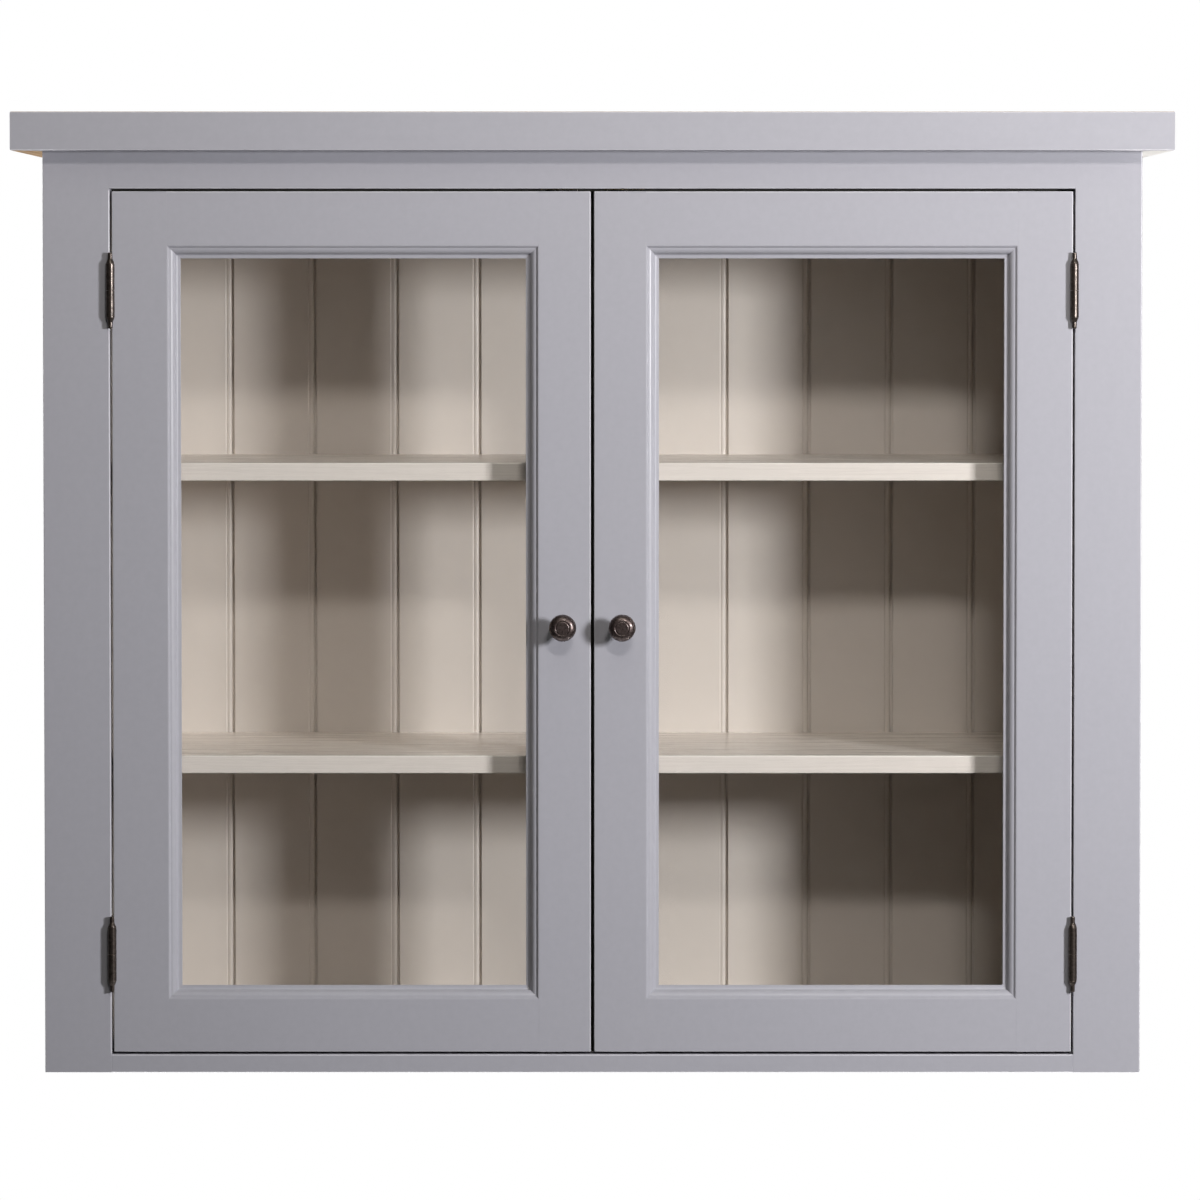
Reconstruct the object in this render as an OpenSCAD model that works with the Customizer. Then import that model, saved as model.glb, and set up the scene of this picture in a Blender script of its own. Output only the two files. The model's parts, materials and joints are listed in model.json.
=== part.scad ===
/* [Carcass] */
// Width over the face frame
frame_w = 1098; // [900:2:1200]
// Height of the carcass without the cornice
carcass_h = 923; // [800:1:1000]
// Depth from the wall to the face of the frame
cabinet_d = 330; // [280:1:400]
// Thickness of the side, top and bottom panels
panel_t = 18; // [15:0.5:24]
// Depth of the housings in the side panels
housing_d = 6; // [3:0.5:8]
// Gap left at the blind ends of housings, mortises and rebates
joint_gap = 0.2; // [0.1:0.05:0.5]

/* [Shelves] */
// Thickness of a shelf
shelf_t = 18; // [15:0.5:24]
// Height of the lower shelf's underside
lower_shelf_z = 296; // [200:1:340]
// Height of the upper shelf's underside
upper_shelf_z = 592; // [480:1:640]
// Distance from the face of the frame back to a shelf's front edge
shelf_setback = 50; // [35:1:120]
// Chamfer that eases a shelf's front arrises
shelf_ease = 1.2; // [0.5:0.1:2]

/* [Back boards] */
// Thickness of a back board
board_t = 12; // [9:0.5:15]
// Distance from one joint between boards to the next
board_pitch = 87.4; // [70:0.2:120]
// Visible width of the first board, at the left
first_board_w = 61.8; // [30:0.2:65]
// Width of the open groove at each joint
board_groove = 2.6; // [1.5:0.1:4]
// Half the width of the bead beside each groove
bead_r = 2.6; // [2:0.1:3.5]
// Width of the slope from a board's face down to the bead
quirk_w = 1.4; // [1:0.1:3]
// Depth of that slope
quirk_d = 0.8; // [0.4:0.1:1.5]
// Thickness of the tongue
tongue_t = 4; // [3:0.1:4]
// Reach of the tongue past the groove
tongue_l = 5; // [3:0.5:8]
// Slack around the tongue in its slot
tongue_gap = 0.1; // [0.05:0.05:0.3]
// Depth of the rebate in each side panel that takes the boards
rebate_w = 10; // [6:0.5:12]

/* [Wall fixing] */
// Thickness of the hanging rail and of the lower batten
rail_t = 18; // [15:0.5:24]
// Height of the hanging rail
hanging_rail_h = 75; // [50:1:85]
// Height of the lower batten
batten_h = 24; // [18:1:40]
// Board that takes the fixing holes, counted from each side
fixing_board = 3; // [2:1:4]
// Radius of a fixing hole
wall_hole_r = 2.75; // [2:0.05:4]
// Radius of the countersink on a fixing hole
wall_sink_r = 5.5; // [4.5:0.1:7]

/* [Face frame] */
// Thickness of the face frame
frame_t = 22; // [18:0.5:28]
// Width of each frame stile
frame_stile_w = 67; // [50:1:90]
// Height of the top frame rail
frame_top_h = 37.5; // [32:0.5:60]
// Height of the bottom frame rail
frame_bottom_h = 18; // [18:0.5:40]
// Length of the tenons of the face frame
frame_tenon_l = 25; // [15:1:35]
// Thickness of every tenon
tenon_t = 8; // [6:0.5:9]
// Shoulder above and below a frame tenon
frame_shoulder = 3; // [2:0.5:5]

/* [Cornice] */
// Height of the cornice
cornice_h = 38.5; // [25:0.5:60]
// Overhang of the cornice past the frame and the sides
cornice_out = 29; // [15:1:45]
// Width of the cornice that sits on the carcass
cornice_seat = 18; // [12:1:20]

/* [Doors] */
// Thickness of a door
door_t = 22; // [21:0.5:26]
// Gap between a door and the frame at the hinge side
hinge_gap = 2; // [1.6:0.1:3]
// Gap above and below a door
end_gap = 2.5; // [2:0.1:3]
// Gap between the two doors
meeting_gap = 3.2; // [2.6:0.1:6]
// Width of the hinge stile of a door
outer_stile_w = 55; // [45:1:80]
// Width of the meeting stile of a door
meeting_stile_w = 52; // [48:0.5:80]
// Height of a door's top rail
door_top_h = 54; // [45:1:90]
// Height of a door's bottom rail
door_bottom_h = 53; // [45:1:110]
// Length of the tenons of a door
door_tenon_l = 14; // [10:0.5:15]
// Shoulder above and below a door tenon
door_shoulder = 12; // [8:1:15]
// Width of the post behind the gap between the doors
post_w = 30; // [20:1:60]
// Thickness of the door stops and of the post
stop_t = 16; // [10:1:20]
// Overlap of a door stop behind the door
stop_lap = 10; // [6:1:14]
// Gap between a closed door and its stops
stop_gap = 0.3; // [0.1:0.1:0.8]

/* [Glazing] */
// Width of the moulding round the glass
mould_w = 13; // [11:0.5:20]
// Depth of the glass behind the door's face
glass_depth = 11.5; // [10:0.5:12]
// Thickness of the glass
glass_t = 4; // [3:0.5:5]
// Gap between the glass's edge and the door
glass_gap = 1; // [0.5:0.1:2]
// Width of the flat outside the moulding's raised edge
mould_quirk_w = 1.6; // [1:0.1:2]
// Depth of that flat behind the door's face
mould_quirk_d = 1.9; // [1:0.1:4]
// Width of the raised edge of the moulding
mould_crest_w = 3; // [2:0.1:4]
// Width of the flat beside the glass
mould_fillet_w = 3.4; // [2.5:0.1:4.5]
// Width of the bead that holds the glass from behind
rear_bead_w = 11; // [8:0.5:15]
// Gap at each side of a mitre
mitre_gap = 0.05; // [0.03:0.01:0.2]

/* [Hinges] */
// Distance from a door's end to the middle of its hinge
hinge_inset = 99; // [80:1:160]
// Length of a hinge leaf
leaf_l = 54; // [46:1:80]
// Depth of a hinge leaf in the door's edge
leaf_d = 18; // [14:0.5:19]
// Thickness of a hinge leaf
leaf_t = 1.5; // [1.2:0.1:2]
// Gap between the two leaves when the door is shut
leaf_gap = 0.2; // [0.1:0.05:0.4]
// Radius of the hinge knuckle
knuckle_r = 4.35; // [4:0.05:6]
// Gap between the knuckle and the face of the door
knuckle_gap = 0.2; // [0.1:0.05:0.5]
// Radius of the hinge pin
pin_r = 2.5; // [1.5:0.1:2.8]
// Running clearance between the pin and the door's knuckle
pin_clear = 0.05; // [0.02:0.01:0.1]
// Gap between the two halves of the knuckle
knuckle_split = 0.2; // [0.1:0.05:0.5]
// Height of the finial at each end of a hinge
finial_h = 11; // [8:0.5:16]
// Radius of the finial's tip
finial_tip_r = 2.3; // [1.6:0.1:2.4]
// Height of the plug that holds the upper finial in the knuckle
finial_plug_h = 4; // [3:0.5:6]
// Radius of a hinge screw's shank
screw_r = 1.6; // [1.2:0.1:1.9]
// Radius of a hinge screw's head
screw_head_r = 3; // [2.4:0.1:3.6]
// Length of a hinge screw
screw_l = 16; // [10:1:20]
// Distance between the screws of a leaf
screw_pitch = 19; // [15:0.5:19]

/* [Knobs] */
// Radius of the knob
knob_r = 13.6; // [11:0.1:17]
// Distance from the door's face to the knob's front
knob_out = 32; // [28:0.5:40]
// Radius of the knob's neck
knob_neck_r = 5; // [4:0.5:6.5]
// Radius of the foot that stands on the door
knob_foot_r = 8; // [7:0.5:10]
// Thickness of the foot
knob_foot_t = 2.5; // [1.5:0.1:4]
// Radius of the flat disc on the knob's front
knob_disc_r = 6.8; // [5:0.1:8]
// Distance from the door's meeting edge to the knob's middle
knob_inset = 28; // [22:0.5:30]
// Height of the knobs' middle
knob_z = 448; // [380:1:560]
// Radius of the bolt that holds the knob
bolt_r = 2; // [1.5:0.1:2.5]
// Length of that bolt inside the knob
bolt_in_knob = 12; // [8:0.5:14]
// Radius of the bolt's head
bolt_head_r = 4; // [3.5:0.1:6]
// Thickness of the bolt's head
bolt_head_t = 2.4; // [1.5:0.1:3]
// Slack round a bolt or screw in its hole
hole_gap = 0.05; // [0.02:0.01:0.2]

/* [Catches] */
// Radius of the catch ball
ball_r = 4; // [3.6:0.1:4.2]
// Running clearance round the ball in its barrel
ball_clear = 0.05; // [0.03:0.01:0.1]
// Amount by which the lip is smaller than the ball
lip_hold = 0.25; // [0.2:0.01:0.35]
// Thickness of the lip that keeps the ball in
lip_t = 0.6; // [0.4:0.1:0.8]
// Thickness of the catch plate and of the strike
plate_t = 1.5; // [1.2:0.1:2]
// Length of the catch plate and of the strike
plate_l = 40; // [36:1:44]
// Width of the catch plate and of the strike
plate_w = 12; // [11:0.5:14]
// Distance from a door's meeting edge to the middle of its catch
catch_inset = 30.5; // [28:0.5:30.5]
// Wall of the barrel below the catch plate
barrel_wall = 1.1; // [0.8:0.1:1.2]
// Depth of the barrel below the door's top
barrel_h = 16; // [13:0.5:20]
// Gap between the ball and the strike
strike_gap = 0.14; // [0.1:0.01:0.3]
// Length of a catch screw
catch_screw_l = 9; // [6:0.5:10]
// Distance from a catch's middle to each of its screws
catch_screw_x = 15; // [12:0.5:15]
// Radius of the wire coil inside the barrel
spring_r = 3.4; // [3:0.1:3.5]
// Wall of the coil's solid
spring_wall = 0.6; // [0.4:0.1:0.8]

/* [Hidden] */
$fn = 48;
outside = [0.67, 0.66, 0.70];
inside = [0.82, 0.79, 0.75];
pewter = [0.27, 0.24, 0.22];
brass = [0.72, 0.58, 0.33];
steel = [0.62, 0.62, 0.60];
eps = 1;

half_w = frame_w / 2;
inner_half = half_w - panel_t;
face_y = -cabinet_d;
frame_back_y = face_y + frame_t;
carcass_front_y = frame_back_y;
shelf_front_y = face_y + shelf_setback;
top_z = carcass_h - panel_t;

joint_n = floor((2 * inner_half - first_board_w) / board_pitch) + 1;
board_n = joint_n + 1;
board_half = inner_half + rebate_w - joint_gap;
tongue_y = (board_t - tongue_t) / 2;
hole_x = [flat_middle(fixing_board), flat_middle(board_n + 1 - fixing_board)];
hole_z = [panel_t + batten_h / 2, top_z - hanging_rail_h / 2];

opening_half = half_w - frame_stile_w;
opening_z0 = frame_bottom_h;
opening_z1 = carcass_h - frame_top_h;

door_x0 = -opening_half + hinge_gap;
door_x1 = -meeting_gap / 2;
door_z0 = opening_z0 + end_gap;
door_z1 = opening_z1 - end_gap;
door_back_y = face_y + door_t;
stop_y = door_back_y + stop_gap;
pane_x0 = door_x0 + outer_stile_w;
pane_x1 = door_x1 - meeting_stile_w;
pane_z0 = door_z0 + door_bottom_h;
pane_z1 = door_z1 - door_top_h;
pane_w = pane_x1 - pane_x0;
pane_h = pane_z1 - pane_z0;
glass_y = face_y + glass_depth;
rear_bead_t = door_back_y - glass_y - glass_t;

axis_x = -opening_half + hinge_gap / 2;
axis_y = face_y - knuckle_r - knuckle_gap;
hinge_z = [door_z0 + hinge_inset, door_z1 - hinge_inset];
leaf_sink = leaf_t - (hinge_gap - leaf_gap) / 2;
screw_head_h = leaf_t - 0.2;
screw_y = face_y + leaf_d / 2;

knob_x = door_x1 - knob_inset;
catch_x = door_x1 - catch_inset;
catch_y = face_y + door_t / 2;
barrel_r = ball_r + ball_clear + barrel_wall;
lip_r = ball_r - lip_hold;
ball_z = door_z1 - lip_t - sqrt(ball_r * ball_r - lip_r * lip_r) - ball_clear;
strike_z = ball_z + ball_r + strike_gap;
barrel_floor_z = door_z1 - barrel_h + barrel_wall;
spring_hole_r = spring_r - spring_wall;
spring_top_z = ball_z - sqrt(ball_r * ball_r - spring_hole_r * spring_hole_r) - ball_clear;
catch_screw_r = 1.4;
catch_head_r = 2.4;
catch_head_h = 1;

BOARDS = [for (i = [1:board_n]) board_name(i)];
DOOR_PIECES = ["door_outer_stile", "door_meeting_stile", "door_top_rail", "door_bottom_rail",
    "door_moulding", "door_glass", "door_rear_beads", "door_hinge_leaves", "door_knob",
    "door_fasteners", "catch_plate", "catch_ball", "catch_spring"];
CARCASS = ["left_side_panel", "right_side_panel", "top_panel", "bottom_panel",
    "lower_shelf", "upper_shelf", "hanging_rail", "lower_batten",
    "left_frame_stile", "right_frame_stile", "top_frame_rail", "bottom_frame_rail",
    "cornice_front", "cornice_left", "cornice_right", "door_stops", "centre_post",
    "frame_hinge_leaves", "hinge_pins", "frame_fasteners", "catch_strikes"];

// A box from its lowest to its highest corner
module block(lo, hi) {
    translate(lo) cube(hi - lo);
}

// A copy at the left and one mirrored to the right
module both_sides() {
    children();
    mirror([1, 0, 0]) children();
}

// A round bar from a point along the Y axis
module bar_y(r, y0, y1) {
    translate([0, y0, 0]) rotate([-90, 0, 0]) cylinder(r = r, h = y1 - y0);
}

// A countersunk screw along +Z: its head's top is at zero and its point is at the far end
module screw(r, head_r, head_h, length, gap = 0) {
    tip = r;
    translate([0, 0, -gap]) cylinder(r1 = head_r + gap, r2 = r + gap, h = head_h);
    cylinder(r = r + gap, h = length - tip + gap);
    translate([0, 0, length - tip + gap]) cylinder(r1 = r + gap, r2 = r / 4, h = tip);
}

// Left side panel, with its housings and the rebate for the back boards
module left_side_panel() {
    color(outside) difference() {
        block([-half_w, carcass_front_y, 0], [-inner_half, 0, carcass_h]);
        block([-inner_half - rebate_w, -board_t, -eps], [-inner_half + eps, eps, carcass_h + eps]);
        for (z = [0, top_z]) housing(z, panel_t, carcass_front_y - eps);
        for (z = [lower_shelf_z, upper_shelf_z]) housing(z, shelf_t, shelf_front_y);
    }
}

// A housing cut across the left side panel
module housing(z, thick, front_y) {
    below = z <= 0 ? eps : 0;
    above = z >= top_z ? eps : 0;
    block([-inner_half - housing_d, front_y, z - below],
        [-inner_half + eps, eps, z + thick + above]);
}

module top_panel() {
    color(inside) carcass_panel(top_z);
}

module bottom_panel() {
    color(inside) carcass_panel(0);
}

// A top or bottom panel, let into both sides
module carcass_panel(z) {
    half = inner_half + housing_d - joint_gap;
    block([-half, carcass_front_y, z], [half, -board_t, z + panel_t]);
}

// A shelf with eased front arrises, let into both sides
module shelf(z) {
    half = inner_half + housing_d - joint_gap;
    front = shelf_front_y;
    color(inside) translate([-half, 0, z]) rotate([90, 0, 90]) linear_extrude(height = 2 * half)
        polygon([[-board_t, 0], [front + shelf_ease, 0], [front, shelf_ease],
            [front, shelf_t - shelf_ease], [front + shelf_ease, shelf_t], [-board_t, shelf_t]]);
}

// Name of board i, counted from the nearer side of the cabinet
function board_name(i) = i <= board_n / 2 ? str("left_back_board_", i)
    : str("right_back_board_", board_n + 1 - i);

// Centre of the groove between board i and the next one
function joint_x(i) = -inner_half + first_board_w + (i - 1) * board_pitch;

// Middle of the flat between the groove and the bead of board i
function flat_middle(i) = joint_x(i - 1) + (board_pitch - 2 * bead_r - quirk_w) / 2;

// Outline of a board's right edge: tongue, groove side, bead and the slope beside the bead
function right_edge(x) = concat(
    [[x - tongue_gap, 0], [x - tongue_gap, -tongue_y],
        [x + board_groove / 2 + tongue_l, -tongue_y],
        [x + board_groove / 2 + tongue_l, -tongue_y - tongue_t],
        [x - board_groove / 2, -tongue_y - tongue_t]],
    [for (a = [0:22.5:180])
        [x - board_groove / 2 - bead_r + bead_r * cos(a),
            (a < 90 ? bead_r : quirk_d) * (1 - sin(a)) - board_t]],
    [[x - board_groove / 2 - 2 * bead_r - quirk_w, -board_t]]);

// Outline of a board's left edge: front lip, slot and back lip
function left_edge(x) =
    [[x + board_groove / 2, -board_t],
        [x + board_groove / 2, -tongue_y - tongue_t - tongue_gap],
        [x + board_groove / 2 + tongue_l + joint_gap, -tongue_y - tongue_t - tongue_gap],
        [x + board_groove / 2 + tongue_l + joint_gap, -tongue_y + tongue_gap],
        [x + tongue_gap, -tongue_y + tongue_gap], [x + tongue_gap, 0]];

// A beaded back board, counted from the left
module back_board(i) {
    right = i == board_n ? [[board_half, 0], [board_half, -board_t]] : right_edge(joint_x(i));
    left = i == 1 ? [[-board_half, -board_t], [-board_half, 0]] : left_edge(joint_x(i - 1));
    color(inside) difference() {
        linear_extrude(height = carcass_h) polygon(concat(right, left));
        wall_holes();
    }
}

// The four wall-fixing holes, with a countersink at the front of each rail
module wall_holes() {
    sink = wall_sink_r - wall_hole_r;
    for (x = hole_x, z = hole_z) translate([x, 0, z]) {
        bar_y(wall_hole_r, -board_t - rail_t - eps, eps);
        translate([0, -board_t - rail_t, 0]) rotate([-90, 0, 0])
            cylinder(r1 = wall_sink_r, r2 = wall_hole_r, h = sink);
    }
}

module hanging_rail() {
    color(inside) wall_rail(top_z - hanging_rail_h, hanging_rail_h);
}

module lower_batten() {
    color(inside) wall_rail(panel_t, batten_h);
}

// A rail in front of the back boards that takes the wall screws
module wall_rail(z, height) {
    difference() {
        block([-inner_half, -board_t - rail_t, z], [inner_half, -board_t, z + height]);
        wall_holes();
    }
}

// Left stile of the face frame, with mortises for the rails and for the hinge leaves
module left_frame_stile() {
    color(outside) difference() {
        block([-half_w, face_y, 0], [-opening_half, frame_back_y, carcass_h]);
        for (z = hinge_z) translate([-opening_half - leaf_sink, face_y - eps, z - leaf_l / 2 - joint_gap])
            cube([leaf_sink + eps, leaf_d + eps + joint_gap, leaf_l + 2 * joint_gap]);
        frame_mortise(0, frame_bottom_h);
        frame_mortise(opening_z1, frame_top_h);
        frame_hinge_screws(hole_gap);
    }
}

module frame_mortise(z, height) {
    mid = (face_y + frame_back_y) / 2;
    block([-opening_half - frame_tenon_l - joint_gap, mid - tenon_t / 2, z + frame_shoulder],
        [-opening_half + eps, mid + tenon_t / 2, z + height - frame_shoulder]);
}

// A rail of the face frame with a tenon at each end
module frame_rail(z, height) {
    mid = (face_y + frame_back_y) / 2;
    half = opening_half + frame_tenon_l;
    block([-opening_half, face_y, z], [opening_half, frame_back_y, z + height]);
    block([-half, mid - tenon_t / 2, z + frame_shoulder],
        [half, mid + tenon_t / 2, z + height - frame_shoulder]);
}

module bottom_frame_rail() {
    color(outside) frame_rail(0, frame_bottom_h);
}

// The top rail, with the two strikes let into its underside
module top_frame_rail() {
    color(outside) difference() {
        frame_rail(opening_z1, frame_top_h);
        both_sides() translate([catch_x, catch_y, 0]) {
            block([-plate_l / 2, -plate_w / 2, opening_z1 - eps],
                [plate_l / 2, plate_w / 2, strike_z + plate_t]);
            cylinder_between(lip_r, strike_z, strike_z + plate_t + ball_r);
            strike_screws(hole_gap);
        }
    }
}

module cylinder_between(r, z0, z1) {
    translate([0, 0, z0]) cylinder(r = r, h = z1 - z0);
}

// The cornice's front board, mitred at both ends
module cornice_front() {
    out = half_w + cornice_out;
    front = face_y - cornice_out;
    depth = cornice_out + cornice_seat;
    color(outside) translate([0, 0, carcass_h]) linear_extrude(height = cornice_h)
        polygon([[-out, front], [out, front], [out - depth, front + depth], [depth - out, front + depth]]);
}

// The cornice's left board, mitred at the front
module cornice_left() {
    out = -half_w - cornice_out;
    front = face_y - cornice_out;
    depth = cornice_out + cornice_seat;
    color(outside) translate([0, 0, carcass_h]) linear_extrude(height = cornice_h)
        polygon([[out, front], [out + depth, front + depth], [out + depth, 0], [out, 0]]);
}

// Strips under the top panel and on the bottom panel that the doors close against
module door_stops() {
    color(inside) both_sides() {
        block([-inner_half, stop_y, door_z1 - stop_lap], [-post_w / 2, stop_y + stop_t, top_z]);
        block([-inner_half, stop_y, panel_t], [-post_w / 2, stop_y + stop_t, door_z0 + stop_lap]);
    }
}

// Post between the two panels that closes the gap between the doors from behind
module centre_post() {
    color(inside) block([-post_w / 2, stop_y, panel_t], [post_w / 2, stop_y + stop_t, top_z]);
}

// Left door's hinge stile, with its rail mortises and the mortises for the leaves
module door_outer_stile() {
    color(outside) difference() {
        block([door_x0, face_y, door_z0], [pane_x0, door_back_y, door_z1]);
        door_tenons(joint_gap);
        for (z = hinge_z) translate([door_x0 - eps, face_y - eps, z - leaf_l / 2 - joint_gap])
            cube([leaf_sink + eps, leaf_d + eps + joint_gap, leaf_l + 2 * joint_gap]);
        door_hinge_screws(hole_gap);
    }
}

// Left door's meeting stile, bored for the knob's bolt and for the catch
module door_meeting_stile() {
    color(outside) difference() {
        block([pane_x1, face_y, door_z0], [door_x1, door_back_y, door_z1]);
        door_tenons(joint_gap);
        translate([knob_x, 0, knob_z]) bar_y(bolt_r + hole_gap, face_y - eps, door_back_y + eps);
        catch_recess();
    }
}

// The tenons of both rails, longer by the gap when they are cut out of the stiles
module door_tenons(gap) {
    mid = (face_y + door_back_y) / 2;
    for (z = [[door_z0, pane_z0], [pane_z1, door_z1]])
        block([pane_x0 - door_tenon_l - gap, mid - tenon_t / 2, z[0] + door_shoulder],
            [pane_x1 + door_tenon_l + gap, mid + tenon_t / 2, z[1] - door_shoulder]);
}

module door_top_rail() {
    color(outside) door_rail(pane_z1, door_z1);
}

module door_bottom_rail() {
    color(outside) door_rail(door_z0, pane_z0);
}

// A door rail with a tenon at each end
module door_rail(z0, z1) {
    block([pane_x0, face_y, z0], [pane_x1, door_back_y, z1]);
    intersection() {
        door_tenons(0);
        block([door_x0, face_y, z0], [door_x1, door_back_y, z1]);
    }
}

// Hollow for the catch: the plate's seat, the barrel's bore and the screws' pilot holes
module catch_recess() {
    translate([catch_x, catch_y, 0]) {
        block([-plate_l / 2 - joint_gap, -plate_w / 2 - joint_gap, door_z1 - plate_t],
            [plate_l / 2 + joint_gap, plate_w / 2 + joint_gap, door_z1 + eps]);
        cylinder_between(barrel_r + hole_gap, door_z1 - barrel_h - joint_gap, door_z1);
        catch_screws(hole_gap);
    }
}

// Section of the glazing moulding: across from the door's edge, and back from its face
function mould_section() = let (
        crest_end = mould_quirk_w + mould_crest_w,
        fillet_x = mould_w - mould_fillet_w,
        cove_w = fillet_x - crest_end,
        inner_lip = 4,
        bead_rise = 0.7,
        fillet_y = glass_depth - inner_lip,
        crest_r = mould_crest_w / 2)
    concat([[0, glass_depth], [0, mould_quirk_d]],
        [for (a = [180:-30:0])
            [mould_quirk_w + crest_r + crest_r * cos(a), mould_quirk_d - bead_rise * sin(a)]],
        [for (a = [15:15:90])
            [crest_end + cove_w * (1 - cos(a)), mould_quirk_d + (fillet_y - mould_quirk_d) * sin(a)]],
        [for (a = [150:-30:0])
            [fillet_x + mould_fillet_w / 2 * (1 + cos(a)), fillet_y - bead_rise * sin(a)]],
        [[mould_w, glass_depth]]);

// Section of the bead behind the glass: across from the door's edge, and back from the glass
function rear_bead_section() = let (lip = 1, round_r = rear_bead_t - lip)
    concat([[0, rear_bead_t], [0, 0], [rear_bead_w, 0]],
        [for (a = [0:15:90]) [rear_bead_w - round_r * (1 - cos(a)), lip + round_r * sin(a)]]);

// One mitred length of a section, along +X, with its outer edge at zero
module mitred_bar(length, width) {
    intersection() {
        rotate([90, 0, 90]) linear_extrude(height = length) children();
        translate([0, glass_depth + door_t, 0]) rotate([90, 0, 0])
            linear_extrude(height = 2 * (glass_depth + door_t))
            polygon([[mitre_gap, 0], [length - mitre_gap, 0],
                [length - mitre_gap - width, width], [mitre_gap + width, width]]);
    }
}

// Four mitred lengths round the left door's pane, at a distance back from the face
module pane_ring(y, width) {
    translate([pane_x0, y, pane_z0]) mitred_bar(pane_w, width) children();
    translate([pane_x1, y, pane_z0]) rotate([0, -90, 0]) mitred_bar(pane_h, width) children();
    translate([pane_x1, y, pane_z1]) rotate([0, 180, 0]) mitred_bar(pane_w, width) children();
    translate([pane_x0, y, pane_z1]) rotate([0, 90, 0]) mitred_bar(pane_h, width) children();
}

module door_moulding() {
    color(outside) pane_ring(face_y, mould_w) polygon([for (p = mould_section()) [p[1], p[0]]]);
}

module door_rear_beads() {
    color(outside) pane_ring(glass_y + glass_t, rear_bead_w)
        polygon([for (p = rear_bead_section()) [p[1], p[0]]]);
}

module door_glass() {
    color([0.8, 0.85, 0.85, 0.3]) block([pane_x0 + glass_gap, glass_y, pane_z0 + glass_gap],
        [pane_x1 - glass_gap, glass_y + glass_t, pane_z1 - glass_gap]);
}

// Leaf plate at one side of a hinge, with its screw holes: side is -1 for the frame, 1 for the door
module leaf_plate(side) {
    x0 = side < 0 ? -leaf_gap / 2 - leaf_t : leaf_gap / 2;
    difference() {
        translate([x0, face_y - axis_y, -leaf_l / 2]) cube([leaf_t, leaf_d, leaf_l]);
        leaf_screws(side, hole_gap);
    }
}

// Half a knuckle, above the split for the door and below it for the frame, and the web to its leaf
module half_knuckle(side, bore_r) {
    z0 = side < 0 ? -leaf_l / 2 : knuckle_split / 2;
    height = leaf_l / 2 - knuckle_split / 2;
    x0 = side < 0 ? -leaf_gap / 2 - leaf_t : leaf_gap / 2;
    web_y = (pin_r + knuckle_r) / 2;
    translate([0, 0, z0]) {
        difference() {
            cylinder(r = knuckle_r, h = height);
            translate([0, 0, -eps]) cylinder(r = bore_r, h = height + 2 * eps);
        }
        translate([x0, web_y, 0]) cube([leaf_t, face_y - axis_y + leaf_t - web_y, height]);
    }
}

// The three screws of a leaf, along X into the wood
module leaf_screws(side, gap = 0) {
    start = leaf_gap / 2;
    for (z = [-screw_pitch, 0, screw_pitch])
        translate([side * start, screw_y - axis_y, z]) rotate([0, side * 90, 0])
            screw(screw_r, screw_head_r, screw_head_h, screw_l, gap);
}

module frame_hinge_screws(gap = 0) {
    for (z = hinge_z) translate([axis_x, axis_y, z]) leaf_screws(-1, gap);
}

module door_hinge_screws(gap = 0) {
    for (z = hinge_z) translate([axis_x, axis_y, z]) leaf_screws(1, gap);
}

// Outline of a finial from the knuckle's end outwards: a shoulder, then a plain pin
function finial_section() = [[0, 0], [knuckle_r - 0.3, 0], [knuckle_r - 0.5, finial_h * 0.08],
    [finial_tip_r + 0.2, finial_h * 0.38], [finial_tip_r, finial_h * 0.42],
    [finial_tip_r, finial_h * 0.94], [finial_tip_r - 0.5, finial_h], [0, finial_h]];

module finial() {
    rotate_extrude() polygon(finial_section());
}

// The leaves and half knuckles that are screwed to the frame
module frame_hinge_leaves() {
    color(pewter) both_sides() for (z = hinge_z) translate([axis_x, axis_y, z]) {
        leaf_plate(-1);
        half_knuckle(-1, pin_r + hole_gap);
    }
}

// The pins, fixed in the frame's half knuckles, each with a finial below
module hinge_pins() {
    pin_h = leaf_l - finial_plug_h - eps;
    color(pewter) both_sides() for (z = hinge_z) translate([axis_x, axis_y, z - leaf_l / 2]) {
        cylinder(r = pin_r, h = pin_h);
        rotate([180, 0, 0]) finial();
    }
}

// The left door's leaves and half knuckles, each with the finial plugged in its top
module door_hinge_leaves() {
    color(pewter) for (z = hinge_z) translate([axis_x, axis_y, z]) {
        leaf_plate(1);
        half_knuckle(1, pin_r + pin_clear);
        translate([0, 0, leaf_l / 2 + hole_gap]) {
            finial();
            translate([0, 0, -finial_plug_h]) cylinder(r = pin_r, h = finial_plug_h);
        }
    }
}

// Outline of the knob from the door's face outwards: foot, neck, round shoulder, ring and disc
function knob_section() = let (
        round_r = knob_r - knob_disc_r,
        round_out = knob_out - round_r,
        neck_end = round_out - round_r - 4,
        ring = 0.6)
    concat([[0, 0], [knob_foot_r, 0], [knob_foot_r, knob_foot_t * 0.5],
            [knob_foot_r - 1, knob_foot_t], [knob_neck_r + 0.6, knob_foot_t + 0.6],
            [knob_neck_r, knob_foot_t + 3], [knob_neck_r, neck_end], [knob_neck_r + 1.2, neck_end + 3]],
        [for (a = [-70:10:80])
            [knob_disc_r + round_r * cos(a), round_out + round_r * sin(a)]],
        [[knob_disc_r + ring, knob_out - 0.05], [knob_disc_r, knob_out - ring],
            [knob_disc_r - ring, knob_out], [0, knob_out]]);

module door_knob() {
    color(pewter) translate([knob_x, face_y, knob_z]) difference() {
        rotate([90, 0, 0]) rotate_extrude() polygon(knob_section());
        bar_y(bolt_r + hole_gap, -bolt_in_knob - joint_gap, eps);
    }
}

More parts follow.
